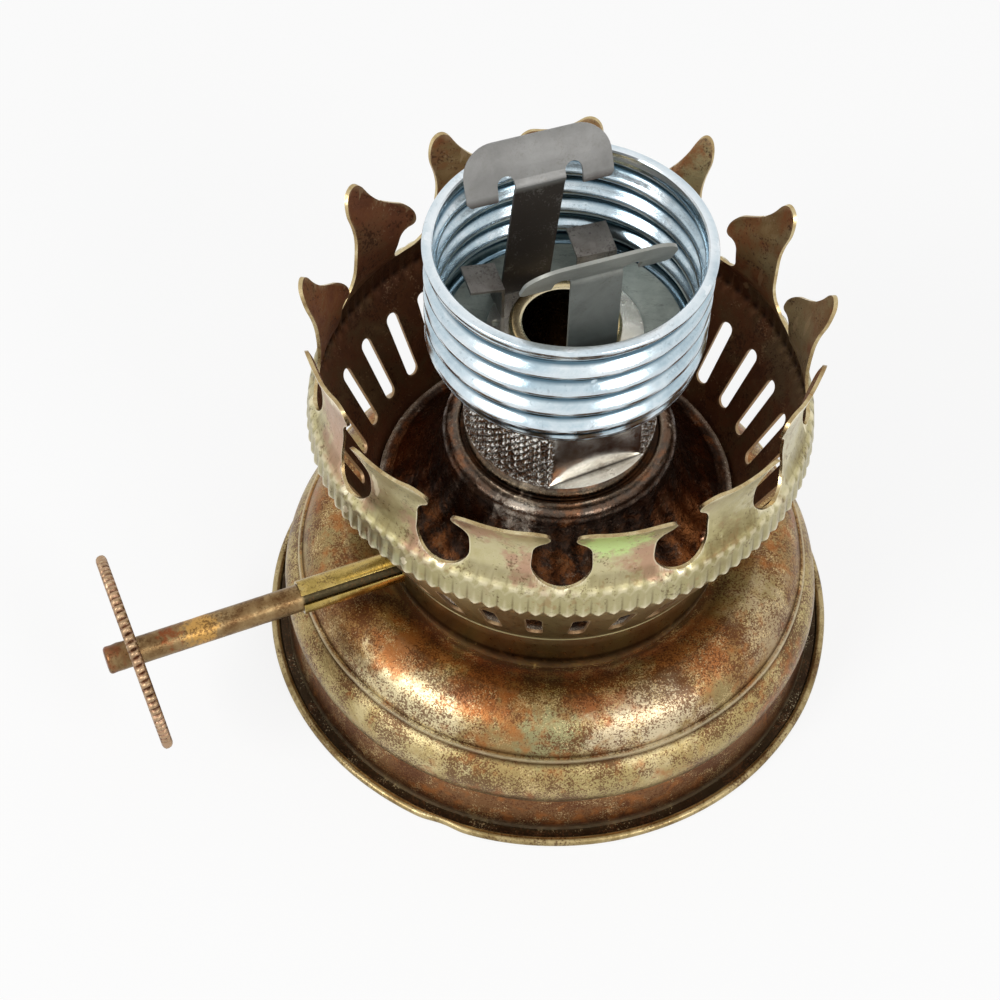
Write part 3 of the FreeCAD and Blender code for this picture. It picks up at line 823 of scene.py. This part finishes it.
def makeShell(material):
    # one long rolled thread that fades out at the floor and under the lip
    sizes = holderSizes
    low, high = lowOf("thread_shell").z, highOf("thread_shell").z
    middle = sizes["shellRadius"] - sizes["ridgeDepth"] / 2
    rollLow, rollHigh = low + 1.0, high - sizes["lipHeight"]
    wall = corners((sizes["nippleRadius"] + sizes["threadGap"], low), (9.0, low), (middle - 1.0, low))
    wall += arcPoints((middle - 1.0, low + 1.0), 1.0, -math.pi / 2, 0, 6)[1:]
    wall += evenly([wall[-1], (middle, rollHigh)], 0.2)[1:]
    # the lip is turned over and closed, so it is thicker than the wall
    edge, bend = sizes["lipRadius"], sizes["lipRound"]
    inside = edge - sizes["lipWidth"]
    lip = [wall.pop()] + corners((middle + 0.25, rollHigh + 0.12), (edge - 0.12, rollHigh + 0.25))
    lip += arcPoints((edge - bend, high - bend), bend, 0, math.pi / 2, 5)
    lip += corners((inside + 0.15, high), (inside, high - 0.15), (inside, rollHigh + 0.1))
    section = sheetSection(wall, sizes["shellSheet"])
    shape = lathe(wall + lip + section[len(wall):], 240)
    pitch = (rollHigh - rollLow) / sizes["shellTurns"]
    for vertex in shape.verts:
        radius, angle = polar(vertex)
        if radius < middle - 0.8 or vertex.co.z > rollHigh + 0.05:
            continue
        turns = (vertex.co.z - rollLow) / pitch - angle / math.tau + sizes["firstRidge"]
        rolled = window(vertex.co.z, rollLow - 0.3, rollLow + 1.2, rollHigh - 1.2, rollHigh)
        pushOut(vertex, angle, sizes["ridgeDepth"] / 2 * rolled * math.sin(math.tau * turns))
    makePiece("threadShell", shape, "burner", [material], ["thread_shell"])


def makeDisc(material):
    low, high = lowOf("shell_disc"), highOf("shell_disc")
    radius, bore = high.x, holderSizes["nippleRadius"] + holderSizes["threadGap"]
    outline = evenly([(bore, low.z), (radius - 0.1, low.z)], 1.5)
    outline += corners((radius, low.z + 0.12), (radius, high.z - 0.12))
    outline += evenly([(radius - 0.12, high.z), (bore, high.z)], 1.0)
    makePiece("shellDisc", lathe(outline, 160), "burner", [material], ["shell_disc"])


def makeNipple(material):
    sizes = holderSizes
    low, high = lowOf("hollow_nipple").z, highOf("hollow_nipple").z
    radius, bore, flange = sizes["nippleRadius"], sizes["nippleBore"], sizes["nippleFlange"]
    under = high - sizes["flangeHeight"]
    outline = corners((bore + 0.1, low), (radius - 0.3, low))
    outline += evenly([(radius, low + 0.3), (radius, under)], 0.2)
    outline += corners((flange - 0.1, under), (flange, under + 0.1))
    outline += arcPoints((flange - 0.4, high - 0.4), 0.4, 0, math.pi / 2, 6)
    outline += corners((bore + 0.35, high), (bore + 0.08, high - 0.12), (bore, high - 0.4))
    outline += evenly([(bore, high - 2.0), (bore, low + 0.1)], 1.0)
    shape = lathe(outline, 128)
    for vertex in shape.verts:
        reach, angle = polar(vertex)
        if reach > radius - 0.2 and vertex.co.z < under - 0.05:
            turn = zigzag(vertex.co.z / sizes["nipplePitch"] - angle / math.tau)
            fade = 1 - smoothStep(vertex.co.z, under - 0.8, under)
            pushOut(vertex, angle, -sizes["nippleThread"] * turn * fade * reach / radius)
    makePiece("hollowNipple", shape, "burner", [material], ["hollow_nipple"])


def makeNut(material):
    shape = softened(copyOf("nipple_nut"), 0.15, 25.0)
    makePiece("nippleNut", shape, "burner", [material], ["nipple_nut"])


clipSizes = {
    "angle": 111.0,
    "distance": 6.4,
    "sheet": 0.35,
    "leafWidth": 5.2,
    "bendHeight": 63.45,
    "bendRadius": 1.6,
    "leafBow": 0.06,
    "headWidth": 15.2,
    "headHeight": 4.9,
    "headCorner": 3.3,
    "headSkirt": 1.0,
    "headLean": 28.0,
    "slotWidth": 1.8,
    "slotDepth": 2.4,
    "backShift": 0.75,
    "backSkew": 0.085,  # the back leaf stands a little crooked
    "earDrop": 0.6,  # below the nipple's top, where the plate's bent ears start
}


def leafOutline(length):
    # a T shaped leaf laid flat, its leaf below zero and its head above
    sizes = clipSizes
    half, wide = sizes["leafWidth"] / 2, sizes["headWidth"] / 2
    corner, slot, skirt = sizes["headCorner"], sizes["slotWidth"] / 2, -sizes["headSkirt"]
    points = corners((half - 0.2, -length), (half, -length + 0.2), (half, skirt))
    points += arcPoints((half + slot, sizes["slotDepth"] + skirt - slot), slot, math.pi, 0, 10)
    points += corners((half + 2 * slot, skirt), (wide - 0.4, skirt), (wide, 0.4 + skirt))
    points += arcPoints((wide - corner, sizes["headHeight"] - corner), corner, 0, math.pi / 2, 12)
    return points + [Vector((-point.x, point.y)) for point in points[::-1]]


def makeLeaf(name, node, body, turn, shift, skew, materials):
    sizes = clipSizes
    bendZ = sizes["bendHeight"]
    length = bendZ - lowOf(node).z
    shape = slab(leafOutline(length), 0.0, sizes["sheet"])
    # level cuts let the leaf bow, closer ones let it bend under the head
    coarse, fine = 0.9, 0.12
    cuts = [index * coarse for index in range(-16, 5)] + [index * fine - coarse for index in range(16)]
    for height in cuts:
        bmesh.ops.bisect_plane(shape, geom=shape.verts[:] + shape.edges[:] + shape.faces[:], dist=0.0001,
                               plane_co=(0, 0, height), plane_no=(0, 0, 1))
    lean = math.radians(sizes["headLean"])
    reach = sizes["bendRadius"] * lean / 2
    for vertex in shape.verts:
        out, across, along = vertex.co
        inLeaf = abs(across) < sizes["leafWidth"] / 2 + 0.05
        if along > reach or not inLeaf:
            tip = lean
        elif along < -reach:
            tip = 0.0
        else:
            tip = lean * smoothStep(along, -reach * 1.4, reach * 1.4)
        # rounds the corner of the bend
        ease = max(0.0, 1 - abs(along) / (reach * 2)) * 0.12 if inLeaf else 0.0
        x = out * math.cos(tip) + along * math.sin(tip) - ease
        z = along * math.cos(tip) - out * math.sin(tip)
        bow = sizes["leafBow"] * math.sin(math.pi * min(1.0, max(0.0, -along / length)))
        vertex.co = (x + bow, across - skew * min(0.0, along), z)
    softened(shape, 0.06, 60.0)
    turned(shifted(shape, sizes["distance"], shift, bendZ), sizes["angle"] + turn)
    makePiece(name, shape, body, materials, [node], 18.0)


def makePlate(materials):
    shape = softened(copyOf("clip_plate"), 0.06, 40.0)
    earFoot = highOf("hollow_nipple").z - clipSizes["earDrop"]
    for face in shape.faces:  # the bent ears have a duller finish than the plate
        face.material_index = int(face.calc_center_median().z > earFoot)
    makePiece("clipPlate", shape, "burner", materials, ["clip_plate"], 18.0)


# colours are linear red, green and blue, sizes and places in millimetres
# patches: centre, radius, colour, strength; specks: size, cluster, low, high, colour, strength
# zones: by height (Z) or radius (R), start, end, raggedness, colour, strength
# hollow and edge: colour, strength, for painted shade in the hollows and painted highlight on sharp edges;
# dents: width, depth
looksWithPaintedLight = {
    "galleryOutside": {
        "tones": [(0.224, 0.151, 0.065), (0.396, 0.336, 0.158), (0.533, 0.47, 0.245),
                  (0.602, 0.538, 0.317), (0.499, 0.37, 0.216)],
        "stainSize": 9.0, "roughness": (0.24, 0.42), "grainDepth": 0.014,
        # the zones darken the outside step by step from the flute roll down to the foot: the first is painted
        # shade on the flutes, the last a near black painted shadow line where the foot meets the dome
        "zones": [("Z", 39.9, 39.3, 0.5, (0.34, 0.30, 0.15), 0.6),
                  ("Z", 36.4, 35.0, 1.0, (0.23, 0.185, 0.09), 0.7),
                  ("Z", 22.2, 21.6, 0.2, (0.16, 0.13, 0.06), 0.5),
                  ("Z", 17.6, 17.1, 0.3, (0.035, 0.022, 0.012), 0.85)],
        # the first patch, pale green, is a painted sheen, a painted highlight on the front prongs
        "patches": [((5.2, -25.4, 46.6), 3.2, (0.60, 0.82, 0.30), 0.85),
                    ((-9.0, -18.0, 19.0), 3.4, (0.15, 0.24, 0.19), 0.7),
                    ((-22.0, -12.0, 45.0), 6.5, (0.48, 0.26, 0.18), 0.75),
                    ((9.6, -23.8, 43.0), 3.2, (0.50, 0.27, 0.19), 0.75),
                    ((-2.8, -25.2, 42.6), 2.6, (0.50, 0.27, 0.19), 0.75),
                    ((-8.4, -24.0, 48.6), 3.4, (0.48, 0.25, 0.18), 0.8),
                    ((-13.0, -21.6, 41.6), 3.0, (0.44, 0.24, 0.17), 0.75),
                    ((-6.8, -18.4, 18.9), 1.0, (0.72, 0.60, 0.16), 0.7),
                    ((21.0, -13.0, 46.0), 6.0, (0.66, 0.62, 0.46), 0.6),
                    ((-18.5, -19.0, 36.5), 3.2, (0.36, 0.42, 0.32), 0.6)],
        "specks": [(0.28, 3.0, 0.62, 0.72, (0.13, 0.08, 0.035), 0.7),
                   (0.9, 6.0, 0.62, 0.74, (0.34, 0.22, 0.10), 0.6)],
        "hollow": ((0.13, 0.09, 0.035), 0.85), "hollowEnd": 0.47, "edge": ((0.95, 0.86, 0.62), 0.8),
        "seed": 2.0,
    },
    "galleryEdge": {
        "tones": [(0.272, 0.172, 0.077), (0.48, 0.367, 0.189), (0.704, 0.608, 0.378)],
        "stainSize": 2.2, "roughness": (0.2, 0.35), "grainSize": 0.2, "grainDepth": 0.01, "seed": 4.0,
    },
    "galleryInside": {
        "tones": [(0.10, 0.03, 0.012), (0.22, 0.075, 0.03), (0.33, 0.125, 0.045), (0.30, 0.18, 0.075),
                  (0.42, 0.27, 0.12)],
        "stainSize": 8.0, "glossSize": 1.0, "roughness": (0.34, 0.6), "grainSize": 0.3,
        "grainDepth": 0.03, "metallic": 0.75,
        "patches": [((24.0, 6.0, 42.0), 9.0, (0.44, 0.35, 0.18), 0.7),
                    ((16.0, 22.0, 47.0), 4.5, (0.42, 0.36, 0.18), 0.7),
                    ((0.0, 28.0, 46.0), 5.0, (0.46, 0.38, 0.16), 0.7),
                    ((-20.0, 18.0, 44.0), 9.0, (0.24, 0.095, 0.05), 0.6)],
        "specks": [(0.3, 3.0, 0.58, 0.70, (0.07, 0.025, 0.012), 0.8),
                   (0.25, 2.0, 0.67, 0.74, (0.62, 0.42, 0.24), 0.35)],
        # painted shade: the inside darker from the flute roll down
        "zones": [("Z", 40.5, 38.5, 1.0, (0.06, 0.028, 0.015), 0.6)],
        "hollow": ((0.035, 0.015, 0.008), 0.8), "edge": ((0.62, 0.44, 0.24), 0.45), "seed": 6.0,
    },
    "dome": {
        "tones": [(0.16, 0.07, 0.025), (0.288, 0.154, 0.056), (0.336, 0.217, 0.09), (0.304, 0.231, 0.101),
                  (0.416, 0.294, 0.14)],
        "stainSize": 8.0, "glossSize": 0.5, "roughness": (0.26, 0.50), "grainSize": 0.22,
        "grainDepth": 0.045,
        # the first two pale patches are painted highlights, the lamps' glare on the front of the dome
        "patches": [((-15.2, -24.1, 13.4), 7.0, (0.82, 0.72, 0.44), 0.8),
                    ((10.5, -25.0, 15.0), 6.0, (0.80, 0.68, 0.46), 0.7),
                    ((-0.1, -27.8, 14.3), 3.2, (0.30, 0.31, 0.16), 0.7),
                    ((-7.0, -21.5, 16.0), 4.4, (0.36, 0.12, 0.04), 0.9),
                    ((-14.5, -17.5, 16.0), 4.6, (0.38, 0.14, 0.045), 0.9),
                    ((5.0, -21.5, 16.2), 4.2, (0.34, 0.12, 0.045), 0.85),
                    ((14.0, -17.0, 16.2), 4.6, (0.40, 0.15, 0.05), 0.9),
                    ((-22.0, -10.0, 15.0), 4.0, (0.30, 0.14, 0.06), 0.7),
                    ((24.0, -12.0, 13.0), 5.0, (0.46, 0.36, 0.22), 0.7)],
        # the first zone is a painted shadow line round the gallery's foot
        "zones": [("R", 20.3, 19.7, 0.4, (0.05, 0.024, 0.012), 0.8),
                  ("Z", 12.0, 11.7, 0.1, (0.52, 0.42, 0.18), 0.55),
                  ("Z", 6.3, 5.7, 0.3, (0.17, 0.055, 0.025), 0.8)],
        "specks": [(0.18, 5.0, 0.47, 0.56, (0.12, 0.045, 0.02), 0.85),
                   (0.15, 3.0, 0.60, 0.68, (0.90, 0.70, 0.36), 0.45),
                   (1.6, 12.0, 0.56, 0.74, (0.38, 0.14, 0.04), 0.65)],
        "hollow": ((0.045, 0.022, 0.010), 0.9), "edge": ((0.66, 0.58, 0.40), 0.7), "seed": 8.0,
        "dents": (5.0, 0.10),
    },
    "pan": {
        "tones": [(0.128, 0.068, 0.03), (0.272, 0.198, 0.086), (0.448, 0.35, 0.178),
                  (0.288, 0.228, 0.112)],
        "stainSize": 4.0, "roughness": (0.25, 0.5), "grainSize": 0.3, "grainDepth": 0.03,
        # painted shade in the narrow trough inside the rolled rim
        "zones": [("R", 32.45, 32.15, 0.2, (0.022, 0.012, 0.008), 0.95)],
        "specks": [(0.25, 3.0, 0.54, 0.66, (0.10, 0.05, 0.025), 0.8),
                   (0.2, 3.0, 0.64, 0.72, (0.85, 0.74, 0.48), 0.4)],
        "seed": 10.0,
    },
    "cone": {
        "tones": [(0.035, 0.014, 0.007), (0.10, 0.042, 0.018), (0.05, 0.034, 0.026), (0.20, 0.072, 0.024),
                  (0.18, 0.11, 0.06)],
        "stainSize": 5.0, "glossSize": 0.7, "roughness": (0.12, 0.36), "grainSize": 0.6,
        "grainDepth": 0.06,
        "patches": [((-4.7, -11.9, 33.0), 2.4, (0.66, 0.58, 0.48), 0.7),
                    ((15.0, -6.0, 24.5), 4.5, (0.34, 0.12, 0.035), 0.7),
                    ((-15.0, 4.0, 25.5), 5.0, (0.22, 0.075, 0.025), 0.7)],
        "specks": [(0.22, 2.5, 0.66, 0.74, (0.50, 0.38, 0.28), 0.4),
                   (0.5, 4.0, 0.58, 0.70, (0.02, 0.010, 0.005), 0.6)],
        "hollow": ((0.012, 0.006, 0.003), 0.8), "edge": ((0.60, 0.52, 0.42), 0.6), "seed": 12.0,
        "dents": (2.5, 0.12),
    },
    "guide": {
        "tones": [(0.18, 0.12, 0.032), (0.361, 0.256, 0.072), (0.492, 0.352, 0.112),
                  (0.377, 0.304, 0.136)],
        "stainSize": 2.4, "glossSize": 0.6, "roughness": (0.18, 0.34), "grainDepth": 0.014,
        "specks": [(0.25, 2.0, 0.58, 0.68, (0.14, 0.08, 0.03), 0.75)],
        "seed": 14.0,
    },
    "spindle": {
        "tones": [(0.128, 0.063, 0.026), (0.216, 0.133, 0.059), (0.304, 0.207, 0.099),
                  (0.24, 0.185, 0.099)],
        "stainSize": 2.6, "glossSize": 0.6, "roughness": (0.28, 0.46), "grainDepth": 0.03,
        "patches": [((-37.9, -18.6, 20.2), 1.9, (0.62, 0.34, 0.09), 0.75),
                    ((-41.0, -19.6, 19.6), 1.4, (0.24, 0.06, 0.02), 0.8),
                    ((-48.5, -22.6, 19.2), 2.6, (0.26, 0.09, 0.04), 0.8)],
        # painted shade: the spindle is near black inside the guide tube, where it shows through the seam
        "zones": [("R", 31.0, 30.6, 0.1, (0.035, 0.028, 0.014), 0.95)],
        "specks": [(0.25, 2.0, 0.56, 0.66, (0.10, 0.05, 0.02), 0.7)], "seed": 16.0,
    },
    "knob": {
        "tones": [(0.12, 0.06, 0.035), (0.24, 0.135, 0.08), (0.38, 0.22, 0.14), (0.34, 0.17, 0.12)],
        "stainSize": 1.8, "glossSize": 0.5, "roughness": (0.3, 0.5), "grainDepth": 0.04,
        "specks": [(0.22, 2.0, 0.58, 0.66, (0.80, 0.64, 0.42), 0.5),
                   (0.4, 2.0, 0.54, 0.66, (0.10, 0.045, 0.03), 0.8)],
        "hollow": ((0.08, 0.04, 0.02), 0.85), "edge": ((0.62, 0.45, 0.26), 0.4), "seed": 18.0,
    },
    "coupler": {
        "tones": [(0.50, 0.46, 0.40), (0.76, 0.73, 0.66), (0.88, 0.86, 0.80)],
        "stainSize": 5.0, "roughness": (0.10, 0.22), "grainSize": 0.3, "grainDepth": 0.006,
        "specks": [(0.3, 3.0, 0.64, 0.74, (0.20, 0.15, 0.10), 0.5)],
        # painted shade in the knurl's pits, painted highlight on its points
        "hollow": ((0.05, 0.035, 0.025), 0.85), "hollowEnd": 0.455, "edge": ((0.97, 0.95, 0.90), 0.7),
        "seed": 20.0,
    },
    "shell": {
        "tones": [(0.34, 0.45, 0.52), (0.54, 0.65, 0.71), (0.78, 0.84, 0.87)],
        "stainSize": 6.0, "glossSize": 0.7, "roughness": (0.12, 0.26), "grainSize": 0.2,
        "grainDepth": 0.008,
        "specks": [(0.3, 3.0, 0.62, 0.74, (0.26, 0.32, 0.36), 0.4)],
        # painted shade in the thread's grooves, painted highlight on its crests
        "hollow": ((0.07, 0.14, 0.19), 0.95), "hollowEnd": 0.475, "edge": ((0.92, 0.95, 0.97), 0.6),
        "seed": 22.0,
    },
    "disc": {
        "metallic": 0.5, "tones": [(0.34, 0.36, 0.32), (0.46, 0.49, 0.43), (0.58, 0.61, 0.54)],
        "stainSize": 3.0, "glossSize": 0.6, "roughness": (0.34, 0.50), "grainDepth": 0.02,
        "specks": [(0.25, 3.0, 0.58, 0.70, (0.14, 0.14, 0.13), 0.6)], "grainStretch": (1.0, 6.0,
                   1.0), "seed": 24.0,
        "grainTurn": (0.0, 0.0, 0.5),
    },
    "nipple": {
        "tones": [(0.36, 0.25, 0.10), (0.52, 0.39, 0.18), (0.64, 0.53, 0.32)],
        "stainSize": 3.0, "glossSize": 0.6, "roughness": (0.16, 0.32), "grainDepth": 0.008,
        # the first zone is painted shade, the bore's wall near black
        "zones": [("R", 4.60, 4.40, 0.0, (0.07, 0.045, 0.025), 0.95),
                  ("R", 5.15, 5.4, 0.1, (0.42, 0.27, 0.09), 0.85)],
        "specks": [(0.25, 2.0, 0.60, 0.70, (0.20, 0.15, 0.09), 0.6)],
        "hollow": ((0.08, 0.06, 0.03), 0.7), "edge": ((0.97, 0.88, 0.62), 0.6), "seed": 26.0,
    },
    "plate": {
        "tones": [(0.62, 0.58, 0.49), (0.80, 0.75, 0.66), (0.88, 0.84, 0.76)],
        "stainSize": 6.0, "glossSize": 1.0, "metallic": 0.75, "roughness": (0.18, 0.3), "grainSize": 0.5,
        "grainDepth": 0.008,
        "specks": [(0.25, 3.0, 0.66, 0.74, (0.12, 0.11, 0.10), 0.6)],
        "seed": 28.0,
    },
    "ear": {
        "metallic": 0.6, "tones": [(0.14, 0.12, 0.10), (0.22, 0.20, 0.18), (0.30, 0.28, 0.25)],
        "stainSize": 2.5, "glossSize": 0.6, "roughness": (0.34, 0.46), "grainSize": 0.2,
        "grainDepth": 0.012,
        "specks": [(0.25, 2.0, 0.56, 0.70, (0.07, 0.06, 0.05), 0.7)],
        "seed": 29.0,
    },
    "leafBack": {
        "metallic": 0.5, "tones": [(0.20, 0.195, 0.185), (0.26, 0.255, 0.243), (0.31, 0.305, 0.293)],
        "stainSize": 5.0, "roughness": (0.40, 0.54), "grainSize": 0.16, "grainDepth": 0.014,
        # painted shade: the leaf below its head is near black, as in the shade inside the shell
        "zones": [("Z", 63.3, 62.6, 0.2, (0.045, 0.034, 0.027), 0.95)],
        "specks": [(0.2, 2.0, 0.58, 0.72, (0.22, 0.21, 0.19), 0.6)],
        "seed": 30.0,
    },
    "leafFront": {
        "metallic": 0.5, "tones": [(0.24, 0.245, 0.22), (0.31, 0.315, 0.285), (0.36, 0.365, 0.335)],
        "stainSize": 5.0, "roughness": (0.36, 0.5), "grainSize": 0.16, "grainDepth": 0.012,
        # painted shadow of the shell's rim across the lower leaf
        "zones": [("Z", 54.6, 53.8, 0.3, (0.16, 0.15, 0.13), 0.85)],
        "specks": [(0.2, 2.0, 0.60, 0.72, (0.24, 0.23, 0.20), 0.6)],
        "seed": 31.0,
    },
    "hidden": {
        "tones": [(0.16, 0.09, 0.03), (0.36, 0.24, 0.09), (0.50, 0.38, 0.16), (0.32, 0.28, 0.14)],
        "stainSize": 6.0, "roughness": (0.26, 0.46), "grainSize": 0.3, "grainDepth": 0.02,
        "specks": [(0.3, 4.0, 0.56, 0.68, (0.09, 0.05, 0.02), 0.7)], "seed": 32.0,
    },
}

metals = {name: agedMetalWithPaintedLight(name, look) for name, look in looksWithPaintedLight.items()}
print("looksWithPaintedLight", len(metals))

makeGallery([metals["galleryOutside"], metals["galleryEdge"], metals["galleryInside"]])
makeDome(metals["dome"])
makePan(metals["pan"])
makeCollar(metals["hidden"])
makeCone(metals["cone"])
makeSpindle(metals["spindle"])
makeGuide(metals["guide"])
makeKnob(metals["knob"])
makeCoupler(metals["coupler"])
makeShell(metals["shell"])
makeDisc(metals["disc"])
makeNipple(metals["nipple"])
makeNut(metals["coupler"])
makePlate([metals["plate"], metals["ear"]])
makeLeaf("clipLeafBack", "clip_leaf_back", "clip_back", 0.0, clipSizes["backShift"], clipSizes["backSkew"],
         [metals["leafBack"]])
makeLeaf("clipLeafFront", "clip_leaf_front", "clip_front", 180.0, 0.0, 0.0, [metals["leafFront"]])
for node, finish in (("draught_plate", "hidden"), ("wick_housing", "hidden"), ("feed_wheels", "hidden"),
                     ("nipple_washer", "disc")):
    nodes[node].data.materials.clear()
    nodes[node].data.materials.append(metals[finish])

studio = {
    "worldLevel": 0.5,
    "floorTone": 0.93,
    "floorGlow": 0.84,
    "floorSize": 4.0,
    "lampTarget": (0, 0, 0.03),
    "lampSize": 0.24,
    "keyPower": 1.5,
    "keyPlace": (-0.40, -0.31, 0.40),
    "fillPower": 1.0,
    "fillPlace": (0.34, -0.40, 0.40),
}


def aimedLamp(name, place, power):
    lampData = bpy.data.lights.new(name, "AREA")
    lampData.shape = "DISK"
    lampData.size = studio["lampSize"]
    lampData.energy = power
    lamp = placed(name, lampData)
    aim = (Vector(studio["lampTarget"]) - Vector(place)).to_track_quat("-Z", "Y")
    lamp.matrix_world = Matrix.Translation(place) @ aim.to_matrix().to_4x4()


def seenDirectly(tree):
    # 1 for what the camera sees, straight or through metal and glass, 0 for the light on the object
    path = addNode(tree, "ShaderNodeLightPath", {}).outputs
    shiny = calculate(tree, "MAXIMUM", path["Is Glossy Ray"], path["Is Transmission Ray"])
    return calculate(tree, "MAXIMUM", path["Is Camera Ray"], shiny)


def makeWorld():
    world = bpy.data.worlds.new("studio")
    bpy.context.scene.world = world
    world.use_nodes = True
    tree = world.node_tree
    background = tree.nodes["Background"]
    background.inputs["Color"].default_value = (1, 1, 1, 1)
    level = remap(tree, seenDirectly(tree), 0.0, 1.0, studio["worldLevel"], 1.0)
    tree.links.new(level, background.inputs["Strength"])


def makeFloor():
    shape = bmesh.new()
    bmesh.ops.create_grid(shape, x_segments=1, y_segments=1, size=studio["floorSize"])
    mesh = bpy.data.meshes.new("floor")
    shape.to_mesh(mesh)
    shape.free()
    floor = placed("floor", mesh)
    material = bpy.data.materials.new("paperFloor")
    material.use_nodes = True
    tree = material.node_tree
    diffuse = tree.nodes["Principled BSDF"]
    tone = studio["floorTone"]
    diffuse.inputs["Base Color"].default_value = (tone, tone, tone, 1)
    diffuse.inputs["Roughness"].default_value = 0.9
    diffuse.inputs["Specular IOR Level"].default_value = 0.0
    glow = addNode(tree, "ShaderNodeEmission", {"Strength": 1.0})
    share = calculate(tree, "MULTIPLY", seenDirectly(tree), studio["floorGlow"])
    mix = addNode(tree, "ShaderNodeMixShader", {0: share, 1: diffuse.outputs[0], 2: glow.outputs[0]})
    tree.links.new(mix.outputs[0], tree.nodes["Material Output"].inputs["Surface"])
    mesh.materials.append(material)


cameraSettings = {
    "lens": 72.0,
    "place": Vector((-6.106, -135.386, 199.972)) * mm,
    "lookDown": 53.11,  # degrees below the horizon
    "roll": 1.609,
}


def makeCamera():
    cameraData = bpy.data.cameras.new("camera")
    cameraData.lens = cameraSettings["lens"]
    cameraData.sensor_width = 36.0
    cameraData.clip_start = 0.01
    camera = placed("camera", cameraData)
    tilt = Matrix.Rotation(math.radians(90 - cameraSettings["lookDown"]), 4, "X")
    roll = Matrix.Rotation(math.radians(cameraSettings["roll"]), 4, "Z")
    camera.matrix_world = Matrix.Translation(cameraSettings["place"]) @ tilt @ roll
    bpy.context.scene.camera = camera


makeWorld()
makeFloor()
aimedLamp("keyLamp", studio["keyPlace"], studio["keyPower"])
aimedLamp("fillLamp", studio["fillPlace"], studio["fillPower"])
makeCamera()
bpy.context.scene.view_settings.view_transform = "Standard"
print("studio ready")
